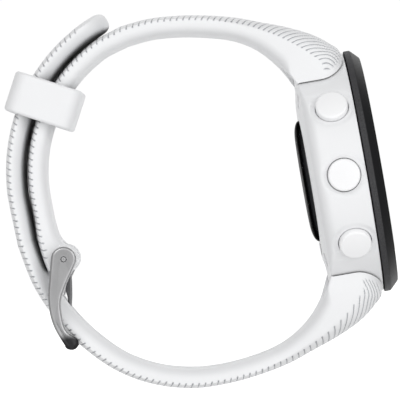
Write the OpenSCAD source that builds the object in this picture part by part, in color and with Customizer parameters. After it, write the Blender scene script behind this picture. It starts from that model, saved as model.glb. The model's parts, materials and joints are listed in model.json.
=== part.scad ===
// GPS running watch, closed as it is worn, with its strap buckled.
// Frame: +X out through the display, +Z towards 12 o'clock, +Y towards 3 o'clock.
// Origin: centre of the wrist opening. All lengths are in millimetres.

/* [Case] */
// Distance from the wrist centre to the back plane of the case
back_x = 21; // [20.9:0.05:21.1]
// Diameter of the white case body
case_d = 39; // [38.8:0.1:39.4]
// Height of the case body, from its back plane to the bezel
case_h = 8.9; // [8.8:0.05:9]
// Radius of the rounded back edge of the case body
back_round = 2.2; // [1.5:0.1:2.6]
// Thickness of the case wall
wall = 2.6; // [2.5:0.05:2.7]

/* [Bezel and lens] */
// Outer diameter of the bezel
bezel_d = 39.4; // [39.3:0.1:40]
// Height of the bezel above the case body
bezel_h = 2.5; // [2.4:0.05:2.6]
// Size of the 45 degree chamfer round the front of the bezel
bezel_chamfer = 1.4; // [1:0.1:1.5]
// Diameter of the glass lens
lens_d = 33.8; // [33.4:0.1:34]
// Thickness of the glass lens
lens_t = 1.1; // [0.9:0.05:1.2]

/* [Buttons] */
// Diameter of a button cap
cap_d = 5.1; // [4.9:0.1:5.3]
// How far a cap stands out of the case wall
cap_proud = 0.8; // [0.6:0.1:1]
// Height of the button axes above the back plane
button_h = 5.35; // [5.2:0.05:5.4]
// Angle of the upper and lower buttons away from the 3 o'clock - 9 o'clock line
button_angle = 34.5; // [33:0.5:36]
// Travel of a button
button_travel = 0.4; // [0.3:0.05:0.4]

/* [Strap] */
// Half width of the plain stretch of the strap
strap_half = 9.5; // [9.3:0.1:9.6]
// Half width of the strap where it meets the case
flare_half = 12; // [11.5:0.1:12.2]
// Thickness of the buckle half
inner_t = 3.1; // [2.9:0.1:3.1]
// Thickness of the holes half
outer_t = 3.2; // [3.1:0.1:3.3]
// Gap between the two halves where they lie on each other
layer_gap = 0.3; // [0.3:0.1:0.4]
// Length of one strap hole
hole_l = 5.5; // [5.4:0.1:5.6]
// Width of one strap hole
hole_w = 2.7; // [2.6:0.1:2.8]
// Distance between strap holes
hole_pitch = 7; // [6.8:0.1:7.2]

/* [Buckle and keeper] */
// Thickness of one side arm of the buckle frame
arm_t = 1.8; // [1.6:0.1:2]
// Diameter of the buckle pin
pin_d = 1.1; // [1:0.05:1.2]
// Wall thickness of the keeper loop
keeper_wall = 1.35; // [1.2:0.05:1.5]
// Length of the keeper loop along the strap
keeper_l = 6; // [5.5:0.5:6]
// Slack of the keeper loop round the two strap halves
keeper_slack = 0.95; // [0.9:0.05:1.1]

/* [Hidden] */
$fn = 64;

eps = 0.01;
slip = 0.05;

// Case levels, heights above the back plane
case_r = case_d / 2;
cavity_r = case_r - wall;
back_level = 0.15;
back_flat_r = 10.5;
back_rim = 0.65;
cover_top = 1.5;
gasket_t = 0.3;
rear_wall_top = 2.4;
rebate_level = case_h - 1;
bezel_base = case_h + 0.1;
front_level = bezel_base + bezel_h;
lens_top = front_level - 0.25;
lens_base = lens_top - lens_t;
ledge_level = lens_base - 0.15;
board_base = 6.6;
board_t = 0.8;
board_top = board_base + board_t;
plate_t = 0.4;
battery_base = 2.6;
battery_r = 10;
battery_y = 2.5;
battery_top = board_base - plate_t - 0.1;
motor_r = 4;
motor_y = -11.8;
motor_h = 2.8;
display_base = case_h - 0.1;

// Back cover, sensor and charging port
cover_r = 16.4;
screw_ring_r = 14.9;
screw_angles = [60, 120, 240, 300];
screw_head_top = 1.2;
gasket_r = 12.9;
window_r = 9.9;
window_neck_r = 8.6;
window_out = 1.1;
window_round = 3;
port_y = -11.25;
port_l = 7.6;
port_w = 1.9;
contact_pitch = 1.8;

// Buttons: angle round the case from 3 o'clock towards 12 o'clock
a_light = 180 - button_angle;
a_up = 180;
a_down = 180 + button_angle;
a_start = button_angle;
a_back = -button_angle;
button_angles = [a_light, a_up, a_down, a_start, a_back];
dish_d = 7.6;
dish_depth = 0.35;
cap_seat = 18.6;
stem_r = 1;
stem_end = 15.3;
seat_r = 16.95;
oring_r = 0.38;
gland_r = 1.85;
clip_t = 0.3;
clip_r = 1.8;
switch_out = stem_end - button_travel - slip;

// Strap: centre of the arc on which both halves lie at the left of the loop
arc_x = 2;
arc_z = 5;
inner_r = 22.7;
outer_r = inner_r + inner_t + layer_gap;
pin_x = -19.9;
pin_z = -5.6;
barrel_r = 2.3;
bar_x = back_x + 3.2;
bar_z = 20.9;
bar_r = 0.75;
tip_r = 0.4;
lug_r = 1.6;
lug_y = 7.4;
lug_t = 1.6;

// Keeper place on the arc, its lean against the arc's radius and the loop's mid radius
keeper_angle = 144.4;
keeper_lean = 7.7;
stack_t = inner_t + layer_gap + outer_t;
keeper_r = inner_r + stack_t / 2 - 0.45;

// Buckle
arm_gap = strap_half + 0.6;
cross_x = -21.35;
cross_z = -19.25;
cross_r = 0.75;
tongue_w = 1.9;
tongue_t = 0.7;
tongue_end = 12.8;

// ---------- helpers ----------

// Case frame: x to 3 o'clock, y to 12 o'clock, z out of the display from the back plane
module in_case() translate([back_x, 0, 0]) rotate([90, 0, 90]) children();

// Places children with their z axis outwards along a button's axis
module on_button(angle)
    in_case() translate([0, 0, button_h]) rotate([0, 0, angle]) rotate([0, 90, 0]) children();

// Rod between two heights
module rod(r, z0, z1) translate([0, 0, z0]) cylinder(r = r, h = z1 - z0);

// Ring between two heights
module ring(r_out, r_in, z0, z1) difference() {
    rod(r_out, z0, z1);
    rod(r_in, z0 - 1, z1 + 1);
}

// Block centred on x and y between two heights
module block(size_x, size_y, z0, z1)
    translate([-size_x / 2, -size_y / 2, z0]) cube([size_x, size_y, z1 - z0]);

// Slot with round ends, long in x
module slot(length, width, z0, z1) {
    block(length - width, width, z0, z1);
    for (side = [-1, 1]) translate([side * (length - width) / 2, 0, 0]) rod(width / 2, z0, z1);
}

// Rod along Y, centred on y = 0
module cross_rod(r, length) rotate([90, 0, 0]) translate([0, 0, -length / 2]) cylinder(r = r, h = length);

// Places children at the four back screws
module at_back_screws()
    for (a = screw_angles) rotate([0, 0, a]) translate([screw_ring_r, 0, 0]) children();

// Places children at the three board screws
module at_board_screws() for (a = [0, 180, 270]) rotate([0, 0, a]) translate([12.2, 0, 0]) children();

// Catmull-Rom value between rows b and c
function between(a, b, c, d, t) =
    0.5 * (2 * b + (c - a) * t + (2 * a - 5 * b + 4 * c - d) * t * t + (3 * b - a - 3 * c + d) * t * t * t);

// Smooth list of rows through key rows, n steps between two keys
function smooth(keys, n) = concat(
    [for (i = [0:len(keys) - 2], j = [0:n - 1])
        between(keys[max(i - 1, 0)], keys[i], keys[i + 1], keys[min(i + 2, len(keys) - 1)], j / n)],
    [keys[len(keys) - 1]]);

// Solid through a list of closed rings that all have the same number of points
module skin(rings) {
    m = len(rings[0]);
    n = len(rings);
    sides = [for (i = [0:n - 2], j = [0:m - 1])
        let (a = i * m + j, b = i * m + (j + 1) % m) each [[a, b, b + m], [a, b + m, a + m]]];
    first = [[for (j = [m - 1:-1:0]) j]];
    last = [[for (j = [0:m - 1]) (n - 1) * m + j]];
    polyhedron(points = [for (r = rings, p = r) p], faces = concat(sides, first, last), convexity = 8);
}

// Strap section: row = [inner x, inner z, outer x, outer z, half width, corner along y, corner depth]
corner_steps = 3;
edge_y = 1.4;
edge_z = 1.5;
crown_y = 8;
crown_z = 1.25;
function strap_ring(row) =
    let (low = [row[0], row[1]], high = [row[2], row[3]], t = norm(high - low), up = (high - low) / t,
         b = row[4], ry = row[5], rz = row[6])
    [for (q = [0:3], k = [0:corner_steps])
        let (a = 90 * (q + k / corner_steps), outer = q < 2,
             sx = (q == 0 || q == 3) ? 1 : -1,
             cy = outer ? ry : edge_y, cz = outer ? rz : edge_z,
             y = sx * (b - cy) + cy * cos(a), h = (outer ? t - cz : cz) + cz * sin(a),
             p = low + up * h)
        [p[0], y, p[1]]];

// Row on the common arc at an angle, from radius r with thickness t
function arc_row(angle, r, t, half, ry, rz) =
    let (c = cos(angle), s = sin(angle))
    [arc_x + r * c, arc_z + r * s, arc_x + (r + t) * c, arc_z + (r + t) * s, half, ry, rz];

// ---------- case ----------

module case_profile() {
    r = case_r;
    polygon(concat(
        [[0, back_rim], [r - back_round, back_rim]],
        [for (a = [-80:10:-10])
            [r - back_round * (1 - cos(a)), back_rim + back_round * (1 + sin(a))]],
        [[r, back_rim + back_round], [r, case_h], [0, case_h]]));
}

// Lug stub with the hole for a spring bar tip, at the 12 o'clock side
module lug_pair() for (side = [-1, 1]) translate([bar_x, side * (lug_y + lug_t / 2), 0]) {
    translate([0, 0, bar_z]) cross_rod(lug_r, lug_t);
    translate([-lug_r, -lug_t / 2, cavity_r + 1]) cube([2 * lug_r, lug_t, bar_z - cavity_r - 1]);
}

module case_body() color("whitesmoke") {
    difference() {
        union() {
            in_case() rotate_extrude() case_profile();
            lug_pair();
            mirror([0, 0, 1]) lug_pair();
        }
        in_case() {
            rod(cavity_r, rear_wall_top, case_h + 1);
            rod(cavity_r + 0.4, rebate_level, case_h + 1);
            rod(gasket_r - 0.6, back_level - 1, rear_wall_top + 1);
            rod(cover_r + slip, back_level - 1, cover_top + gasket_t);
            at_back_screws() rod(0.62, 0, rear_wall_top + 1);
        }
        for (a = button_angles) on_button(a) {
            rod(dish_d / 2, case_r - dish_depth, case_r + 2);
            rod(cap_d / 2 + 0.2, cap_seat - button_travel - 0.1, case_r + 2);
            rod(stem_r + 0.04, seat_r - 1, case_r);
            rod(gland_r, seat_r - 1, seat_r + 2 * oring_r + 0.04);
            rod(clip_r + 0.5, seat_r - 2, seat_r);
        }
        for (top = [-1, 1]) translate([bar_x, 0, top * bar_z])
            cross_rod(tip_r + 0.03, 2 * (lug_y + lug_t) - 0.6);
    }
    in_case() at_back_screws() ring(1.5, 0.62, rear_wall_top - eps, rear_wall_top + 1.4);
}

module bezel() color("#1b1c1e") in_case() rotate_extrude() polygon([
    [cavity_r - 0.5, rebate_level + slip], [cavity_r + 0.35, rebate_level + slip],
    [cavity_r + 0.35, bezel_base], [bezel_d / 2, bezel_base],
    [bezel_d / 2, front_level - bezel_chamfer], [bezel_d / 2 - bezel_chamfer, front_level],
    [lens_d / 2 + 0.1, front_level], [lens_d / 2 + 0.1, ledge_level], [cavity_r - 0.5, ledge_level]]);

module bezel_seal() color("#303030") in_case() ring(case_r - 0.5, cavity_r + 0.45, case_h, bezel_base);

module lens() color("#26292d") in_case() rod(lens_d / 2, lens_base, lens_top);

module lens_gasket() color("#303030") in_case()
    ring(lens_d / 2 - 0.1, cavity_r - 0.4, ledge_level, lens_base);

module display_panel() color("#b9c0b4") in_case() rod(15.2, ledge_level - 0.6, ledge_level + 0.05);

module display_frame() color("#222222") in_case() difference() {
    rod(cavity_r - 0.6, display_base, ledge_level + 0.05);
    rod(15.25, ledge_level - 0.6, front_level);
    rod(11, display_base - 1, front_level);
}

module display_flex() color("darkorange") in_case() translate([0, -14.3, 0])
    block(7, 0.15, board_top, display_base);

// ---------- electronics ----------

module main_board() color("darkgreen") in_case() difference() {
    rod(15.5, board_base, board_top);
    at_board_screws() rod(0.55, 0, front_level);
}

module processor_shield() color("silver") in_case() translate([-4.5, 3, 0]) difference() {
    block(9, 8, board_top, board_top + 1.1);
    block(8.6, 7.6, board_top - 1, board_top + 0.9);
}

module gps_chip() color("#2b2b2b") in_case() translate([5.5, 6, 0]) block(4, 4, board_top, board_top + 0.8);

module board_chips() color("#2b2b2b") in_case() {
    translate([-4.5, 3, 0]) block(5, 5, board_top, board_top + 0.6);
    translate([2.5, -1.5, 0]) block(3, 2.4, board_top, board_top + 0.7);
    translate([-6, -6, 0]) block(2.4, 2.4, board_top, board_top + 0.7);
}

module gps_antenna() color("goldenrod") in_case() rotate([0, 0, 40]) rotate_extrude(angle = 100)
    translate([15.7, board_top + 0.1]) square([0.5, 1]);

module piezo_buzzer() color("gold") in_case() translate([7, -6.5, 0]) rod(4, board_top, board_top + 0.5);

module board_screws() color("silver") in_case() at_board_screws() {
    rod(1, board_top, board_top + 0.5);
    rod(0.5, board_base - plate_t - 1, board_top + eps);
}

module inner_frame() color("dimgray") difference() {
    in_case() difference() {
        union() {
            rod(15.5, board_base - plate_t, board_base);
            translate([0, battery_y, 0]) rod(battery_r + 0.9, battery_base - 0.15, board_base);
            translate([0, motor_y, 0]) rod(motor_r + 0.1, board_base - plate_t - 1, board_base);
            at_board_screws() rod(1.1, board_base - plate_t - 1.2, board_base);
        }
        translate([0, battery_y, 0]) rod(battery_r + 0.15, 0, board_base - plate_t);
        at_board_screws() rod(0.52, 0, board_base + 1);
        translate([0, battery_y + battery_r + 0.35, 0]) block(4.4, 0.5, 0, board_base + 1);
        translate([0, motor_y, 0]) rod(motor_r + 0.1, 0, rear_wall_top + motor_h);
    }
    for (a = button_angles) on_button(a) block(3, 4, switch_out - 1.25, case_r);
}

module battery() color("lightsteelblue") in_case() translate([0, battery_y, 0])
    rod(battery_r, battery_base, battery_top);

module battery_pad() color("black") in_case() translate([0, battery_y, 0])
    rod(battery_r - 2, battery_top, board_base - plate_t);

module battery_flex() color("darkorange") in_case() translate([0, battery_y + battery_r + 0.35, 0])
    block(4, 0.15, battery_base + 1, board_base);

module vibration_motor() color("silver") in_case() translate([0, motor_y, 0])
    rod(motor_r, rear_wall_top, rear_wall_top + motor_h - 0.1);

// ---------- buttons ----------

// Cap and stem of a button, with the groove for its clip
module button(angle) color("whitesmoke") on_button(angle) {
    rod(cap_d / 2, cap_seat, case_r + cap_proud - 0.4);
    translate([0, 0, case_r + cap_proud - 0.4]) cylinder(r1 = cap_d / 2, r2 = cap_d / 2 - 0.4, h = 0.4);
    difference() {
        rod(stem_r, stem_end, cap_seat + eps);
        ring(stem_r + 1, stem_r - 0.3, seat_r - slip - clip_t - 0.02, seat_r - slip + 0.02);
    }
}

// Split retaining clip in the groove of the stem
module clip(angle) color("silver") on_button(angle) difference() {
    ring(clip_r, stem_r - 0.28, seat_r - slip - clip_t, seat_r - slip);
    translate([0, 1, 0]) block(1.3, 2, seat_r - 1, seat_r + 1);
}

module button_light() button(a_light);
module button_up() button(a_up);
module button_down() button(a_down);
module button_start() button(a_start);
module button_back() button(a_back);
module clip_light() clip(a_light);
module clip_up() clip(a_up);
module clip_down() clip(a_down);
module clip_start() clip(a_start);
module clip_back() clip(a_back);

module button_orings() color("#202020") for (a = button_angles) on_button(a)
    translate([0, 0, seat_r + oring_r + 0.02]) rotate_extrude()
        translate([(stem_r + gland_r) / 2, 0]) circle(oring_r);

module tact_switches() color("silver") for (a = button_angles) on_button(a) {
    block(2.2, 3.2, switch_out - 1.1, switch_out - 0.4);
    rod(0.8, switch_out - 0.5, switch_out);
}

module button_flex() color("darkorange") in_case() for (start = [140, -40])
    rotate([0, 0, start]) rotate_extrude(angle = 80)
        translate([switch_out - 1.3, button_h - 1.4]) square([0.15, board_base - plate_t - button_h + 1.4]);

// ---------- back ----------

module back_cover() color("whitesmoke") in_case() difference() {
    rotate_extrude() polygon([[0, back_level], [back_flat_r, back_level], [cover_r, back_rim],
        [cover_r, cover_top], [0, cover_top]]);
    rod(window_neck_r + slip, 0, cover_top + 1);
    translate([0, port_y, 0]) slot(port_l + 0.04, port_w + 0.04, 0, cover_top + 1);
    at_back_screws() {
        rod(0.65, 0, cover_top + 1);
        rod(1.15, 0, screw_head_top);
    }
}

module back_gasket() color("#303030") in_case()
    ring(gasket_r + 0.5, gasket_r - 0.5, cover_top, cover_top + gasket_t);

module back_screws() color("silver") in_case() at_back_screws() difference() {
    union() {
        rod(1.1, back_rim, screw_head_top);
        rod(0.6, back_rim + 0.1, rear_wall_top + 1.2);
    }
    block(1.6, 0.3, 0, back_rim + 0.25);
    block(0.3, 1.6, 0, back_rim + 0.25);
}

module sensor_window() color("#141416") in_case() rotate_extrude() polygon(concat(
    [[0, back_level - window_out]],
    [for (a = [-90:10:0])
        [window_r - window_round + window_round * cos(a), back_level + window_out * sin(a)]],
    [
     [window_neck_r, back_level], [window_neck_r, cover_top], [window_neck_r - 0.7, cover_top],
     [window_neck_r - 0.7, -0.3], [0, -0.3]]));

module sensor_board() color("darkgreen") in_case() rod(window_neck_r - 0.8, 0.4, 1);

module sensor_leds() color("palegreen") in_case() for (a = [90, 210, 330])
    rotate([0, 0, a]) translate([3.2, 0, 0]) block(1.2, 1.4, -0.05, 0.4);

module photodiodes() color("#33363b") in_case() for (a = [30, 150, 270])
    rotate([0, 0, a]) translate([3.6, 0, 0]) block(2, 2.4, 0, 0.4);

module charge_port() color("#1b1c1e") in_case() translate([0, port_y, 0]) difference() {
    slot(port_l, port_w, back_level + 0.15, cover_top);
    slot(port_l - 0.8, port_w - 0.6, 0, back_level + 0.6);
    for (i = [-1.5:1.5]) translate([i * contact_pitch, 0, 0]) rod(0.42, 0, cover_top + 1);
}

module charge_contacts() color("gold") in_case() translate([0, port_y, 0])
    for (i = [-1.5:1.5]) translate([i * contact_pitch, 0, 0]) rod(0.4, back_level + 0.2, cover_top + 0.6);

// ---------- strap ----------

// Buckle half from the case to the common arc
upper_keys = [
    [23.4, 13.6, 29.6, 13.6, flare_half, 4.8, 4.2],
    [22, 15.9, 29.5, 19.2, flare_half, 4.8, 4.2],
    [20.9, 17.4, 27.9, 21.25, flare_half, 4.8, 4],
    [19.6, 19.1, 25.3, 23.2, flare_half - 0.3, 4.8, 3.4],
    [17.6, 21.5, 21.4, 25.1, flare_half - 0.9, 4.6, 2.4],
    [15.3, 23.4, 17.7, 26.5, flare_half - 1.5, 4.4, 1.7],
    [12.3, 24.9, 13.75, 28, flare_half - 2, 5.5, 1.3],
    [8.3, 26, 9.2, 29.2, strap_half + 0.2, crown_y, crown_z],
    [4.2, 26.75, 4.6, 29.95, strap_half, crown_y, crown_z],
    [0, 27.05, -0.1, 30.25, strap_half, crown_y, crown_z],
    [-4, 26.65, -4.7, 29.8, strap_half, crown_y, crown_z]
];
upper_rows = concat(
    smooth(upper_keys, 3),
    [for (a = [115:5:180]) arc_row(a, inner_r, inner_t, strap_half, crown_y, crown_z)],
    smooth([
        [-20.65, 1.2, -23.7, 1.4, strap_half, crown_y, crown_z],
        [-20.3, -1.5, -23.3, -1.5, strap_half, 5, 1],
        [-19.5, -3.1, -22.8, -3.7, strap_half, 3, 1],
        [-18.4, -4, -22.15, -5.2, strap_half, 2, 1]], 3));

// Holes half from the case to the common arc
lower_keys = [
    [23.4, -13.6, 29.6, -13.6, flare_half, 4.8, 4.2],
    [22, -16, 29.5, -19.4, flare_half, 4.8, 4.2],
    [20.9, -17.7, 28, -21.4, flare_half, 4.8, 4],
    [19.6, -19.6, 25.3, -23.5, flare_half - 0.3, 4.8, 3.4],
    [17.6, -21.9, 21.3, -25.4, flare_half - 0.9, 4.6, 2.4],
    [15, -23.9, 17.1, -26.9, flare_half - 1.5, 4.4, 1.7],
    [11.6, -25.5, 12.85, -28.4, flare_half - 2, 5.5, 1.3],
    [7, -26.5, 7.6, -29.5, strap_half + 0.2, crown_y, crown_z],
    [1.9, -26.9, 2, -30, strap_half, crown_y, crown_z],
    [-3.1, -26.5, -3.5, -29.7, strap_half, crown_y, crown_z],
    [-8.2, -25, -9.55, -27.9, strap_half, crown_y, crown_z],
    [-12.9, -22.3, -14.85, -24.8, strap_half, crown_y, crown_z],
    [-16.9, -18.3, -19.45, -20.25, strap_half, crown_y, crown_z],
    [-20, -13.8, -22.8, -15.4, strap_half, crown_y, crown_z],
    [-22.5, -8.2, -25.6, -9.2, strap_half, crown_y, crown_z],
    [-23.9, -1.8, -27.05, -2.3, strap_half, crown_y, crown_z]
];
tip_angle = 109.5;
tip_start = 118;
lower_rows = concat(
    smooth(lower_keys, 3),
    [for (a = [180:-5:tip_start + 5]) arc_row(a, outer_r, outer_t, strap_half, crown_y, crown_z)],
    [for (s = [0:0.125:1])
        let (half = strap_half * sqrt(1.02 - s * s), t = outer_t * (1 - 0.3 * s * s))
        arc_row(tip_start + (tip_angle - tip_start) * s, outer_r, t, half,
            min(crown_y, 0.85 * half), crown_z * t / outer_t)]);

// Where the strap hole for the tongue crosses the holes half, and the strap's slope there
tongue_hole = [-21.1, -15.3];

// Middle line of the holes half
function mid_of(row) = [(row[0] + row[2]) / 2, (row[1] + row[3]) / 2];
mids = [for (row = lower_rows) mid_of(row)];
steps = [for (i = [0:len(mids) - 2]) norm(mids[i + 1] - mids[i])];
function run(i) = i == 0 ? 0 : run(i - 1) + steps[i - 1];
runs = [for (i = [0:len(mids) - 1]) run(i)];
function segment(s) = max([for (i = [0:len(mids) - 2]) if (runs[i] <= s || i == 0) i]);
function nearest_run(p) = let (d = [for (m = mids) norm(m - p)], best = min(d))
    [for (i = [0:len(mids) - 1]) if (d[i] == best) runs[i]][0];
function along(p) = let (near = nearest_run(p), i = segment(near),
    u = (mids[i + 1] - mids[i]) / steps[i]) near + (p - mids[i]) * u;
hole_run = along(tongue_hole);

// Places children on the middle line, x along the strap, z outwards
module on_strap(s) {
    i = segment(s);
    u = (mids[i + 1] - mids[i]) / steps[i];
    p = mids[i] + u * (s - runs[i]);
    translate([p[0], 0, p[1]]) rotate([0, -atan2(u[1], u[0]), 0]) rotate([180, 0, 0]) children();
}

// Space taken out of a strap end: the case wall, the lugs and the spring bar
module strap_end_cuts() {
    in_case() rod(case_r + slip, -5, front_level + 1);
    for (side = [-1, 1]) translate([bar_x, side * (lug_y + lug_t / 2), 0]) {
        translate([0, 0, bar_z]) cross_rod(lug_r + 0.1, lug_t + 0.2);
        translate([-lug_r - 0.1, -lug_t / 2 - 0.1, case_r - 5])
            cube([2 * lug_r + 0.2, lug_t + 0.2, bar_z - case_r + 5]);
    }
    translate([bar_x, 0, bar_z]) cross_rod(bar_r + slip, 2 * lug_y);
}

module strap_upper() color("white") difference() {
    union() {
        skin([for (row = upper_rows) strap_ring(row)]);
        translate([pin_x, 0, pin_z]) cross_rod(barrel_r, 2 * strap_half);
    }
    strap_end_cuts();
    translate([pin_x, 0, pin_z]) {
        cross_rod(pin_d / 2 + slip, 3 * strap_half);
        cross_rod(barrel_r + 0.6, tongue_w + 0.5);
    }
}

module strap_lower() color("white") difference() {
    skin([for (row = lower_rows) strap_ring(row)]);
    mirror([0, 0, 1]) strap_end_cuts();
    for (i = [-5:6]) on_strap(hole_run + i * hole_pitch) slot(hole_l, hole_w, -outer_t, outer_t);
}

// Spring bar, at the 12 o'clock side
bar_bore = 0.55;
bar_half = lug_y - 0.15;
tip_in = bar_half - 1.6;
module bar_tube() color("silver") translate([bar_x, 0, bar_z]) difference() {
    cross_rod(bar_r, 2 * bar_half);
    cross_rod(bar_bore, 2 * bar_half - 0.6);
    cross_rod(tip_r + 0.03, 3 * bar_half);
}

module bar_tips() color("gray") translate([bar_x, 0, bar_z]) for (side = [-1, 1]) {
    translate([0, side * (tip_in + lug_y + lug_t - 0.4) / 2, 0])
        cross_rod(tip_r, lug_y + lug_t - 0.4 - tip_in);
    translate([0, side * (tip_in + 0.4), 0]) cross_rod(bar_bore - 0.03, 0.8);
}

// Coil between the two tips
coil_turns = 8;
coil_r = 0.36;
wire_r = 0.1;
function coil_ring(f) = let (a = 360 * coil_turns * f, y = (2 * f - 1) * (tip_in - wire_r - 0.03))
    [for (k = [0:5]) let (q = 60 * k, r = coil_r + wire_r * cos(q))
        [r * cos(a), y + wire_r * sin(q), r * sin(a)]];
module bar_spring() color("gray") translate([bar_x, 0, bar_z])
    skin([for (i = [0:12 * coil_turns]) coil_ring(i / (12 * coil_turns))]);

module bar_tube_upper() bar_tube();
module bar_tips_upper() bar_tips();
module bar_spring_upper() bar_spring();
module bar_tube_lower() mirror([0, 0, 1]) bar_tube();
module bar_tips_lower() mirror([0, 0, 1]) bar_tips();
module bar_spring_lower() mirror([0, 0, 1]) bar_spring();

// ---------- buckle ----------

// Outline of a side arm, from the pin down to the crossbar, in x and z
arm_left = [[-21.9, -5.2], [-22.6, -8.1], [-23.2, -11], [-23.3, -13.6], [-22.95, -16.2], [-22.1, -18.7]];
arm_right = [[-20, -18], [-21.4, -16.6], [-21.7, -14.6], [-21.4, -12], [-20.3, -9.9], [-18.6, -7.2]];
module arm_outline() {
    polygon(concat(smooth(arm_left, 4), smooth(arm_right, 4)));
    translate([pin_x, pin_z]) circle(2);
    translate([cross_x + 0.4, cross_z + 0.45]) circle(1.15);
}

module buckle_frame() color("gray") difference() {
    union() {
        for (side = [0, 1]) mirror([0, side, 0]) translate([0, arm_gap + arm_t, 0]) rotate([90, 0, 0])
            linear_extrude(arm_t) arm_outline();
        translate([cross_x, 0, cross_z]) cross_rod(cross_r, 2 * arm_gap + 0.02);
    }
    translate([pin_x, 0, pin_z]) {
        cross_rod(pin_d / 2 + 0.02, 4 * arm_gap);
        cross_rod(tongue_end + 0.12, tongue_w + 0.6);
    }
}

module buckle_pin() color("silver") translate([pin_x, 0, pin_z])
    cross_rod(pin_d / 2, 2 * (arm_gap + arm_t));

// Middle line of the tongue, from the pin through the strap hole to the crossbar
tongue_line = [
    [-19.7, -6.8], [-19.75, -8.6], [-19.95, -10.2], [-20.25, -12], [-20.75, -14],
    [-21.25, -16], [-21.6, -18.3]
];
module buckle_tongue() color("silver") difference() {
    union() {
        translate([0, tongue_w / 2, 0]) rotate([90, 0, 0]) linear_extrude(tongue_w) {
            line = smooth(tongue_line, 3);
            n = len(line);
            side = [for (i = [0:n - 1]) let (d = line[min(i + 1, n - 1)] - line[max(i - 1, 0)])
                [-d[1], d[0]] / norm(d) * tongue_t / 2];
            polygon(concat([for (i = [0:n - 1]) line[i] + side[i]],
                [for (i = [n - 1:-1:0]) line[i] - side[i]]));
        }
        translate([pin_x, 0, pin_z]) cross_rod(1.5, tongue_w);
    }
    translate([pin_x, 0, pin_z]) cross_rod(pin_d / 2 + 0.03, 2 * tongue_w);
}

// ---------- keeper ----------

// Rectangle with round corners in x and y, from z = -h/2 to h/2
module round_block(size_x, size_y, r, h) {
    block(size_x - 2 * r, size_y, -h / 2, h / 2);
    block(size_x, size_y - 2 * r, -h / 2, h / 2);
    for (sx = [-1, 1], sy = [-1, 1])
        translate([sx * (size_x / 2 - r), sy * (size_y / 2 - r), 0]) rod(r, -h / 2, h / 2);
}

module keeper() color("white") {
    slot_x = stack_t + 2 * keeper_slack;
    slot_y = 2 * strap_half + 0.8;
    translate([arc_x + keeper_r * cos(keeper_angle), 0, arc_z + keeper_r * sin(keeper_angle)])
        rotate([0, -(keeper_angle + keeper_lean), 0]) difference() {
            round_block(slot_x + 2 * keeper_wall, slot_y + 2 * keeper_wall, 2.4, keeper_l);
            round_block(slot_x, slot_y, 0.8, keeper_l + 1);
        }
}

case_body();
bezel();
bezel_seal();
lens();
lens_gasket();
display_panel();
display_frame();
display_flex();
main_board();
processor_shield();
gps_chip();
board_chips();
gps_antenna();
piezo_buzzer();
board_screws();
inner_frame();
battery();
battery_pad();
battery_flex();
vibration_motor();
button_light();
button_up();
button_down();
button_start();
button_back();
clip_light();
clip_up();
clip_down();
clip_start();
clip_back();
button_orings();
tact_switches();
button_flex();
back_cover();
back_gasket();
back_screws();
sensor_window();
sensor_board();
sensor_leds();
photodiodes();
charge_port();
charge_contacts();
strap_upper();
strap_lower();
bar_tube_upper();
bar_tips_upper();
bar_spring_upper();
bar_tube_lower();
bar_tips_lower();
bar_spring_lower();
buckle_frame();
buckle_tongue();
buckle_pin();
keeper();
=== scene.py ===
"""Looks of a GPS running watch: soft ribbed strap, polymer case, lens, buttons, steel buckle."""
import json
import math

import bpy
import numpy as np
from mathutils import Matrix, Vector

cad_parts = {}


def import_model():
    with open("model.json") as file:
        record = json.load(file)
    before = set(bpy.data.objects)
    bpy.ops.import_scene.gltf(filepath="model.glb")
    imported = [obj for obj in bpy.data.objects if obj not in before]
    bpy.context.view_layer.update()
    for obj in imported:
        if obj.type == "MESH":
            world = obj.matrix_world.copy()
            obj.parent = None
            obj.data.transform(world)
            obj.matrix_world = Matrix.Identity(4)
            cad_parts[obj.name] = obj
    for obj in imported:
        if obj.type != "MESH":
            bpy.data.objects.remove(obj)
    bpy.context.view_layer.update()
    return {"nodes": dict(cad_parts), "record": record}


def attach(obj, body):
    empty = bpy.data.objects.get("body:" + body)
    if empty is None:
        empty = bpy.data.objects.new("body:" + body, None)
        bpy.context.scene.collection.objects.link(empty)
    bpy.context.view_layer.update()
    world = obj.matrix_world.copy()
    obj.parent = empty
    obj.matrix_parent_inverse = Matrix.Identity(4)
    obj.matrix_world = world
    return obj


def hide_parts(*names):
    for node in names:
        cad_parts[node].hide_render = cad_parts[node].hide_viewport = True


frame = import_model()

MM = 0.001
SHARP_ANGLE = 35

# Case, in millimetres: BACK_X is the X of its back plane, and heights are above that plane
BACK_X = 21.0
CASE_R = 19.5
CASE_TOP = 8.9
CASE_BACK = 0.65
BACK_ROUND = 2.2
LUG_ROUND = 0.35
LUG_RANGE = (10.0, 15.2)
CAVITY_R = 16.9
CAVITY_FLOOR = 2.4
OPENING_R = 12.3
RIM_R = 17.3
RIM_DEPTH = 1
BEZEL_R = 19.7
BEZEL_BASE = 9.12
FRONT = 11.5
BEZEL_CHAMFER = 1.4
BEZEL_INNER_R = CAVITY_R - 0.5
BEZEL_SKIRT_R = CAVITY_R + 0.35
BEZEL_FOOT = CASE_TOP - 0.95
LENS_R = 16.9
LENS_BASE = 10.15
LENS_TOP = 11.25
COVER_R = 16.4
COVER_FLAT = 12.8
COVER_LEVEL = 0.15
COVER_TOP = 1.5
COVER_SEAT = 1.8
COVER_GAP = 0.05
WINDOW_R = 8.6
WINDOW_DEPTH = 1.1
WINDOW_FLAT = 6.9
WINDOW_ROUND = 3.0
WINDOW_WALL_R = 7.9
WINDOW_INSIDE = -0.3
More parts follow.
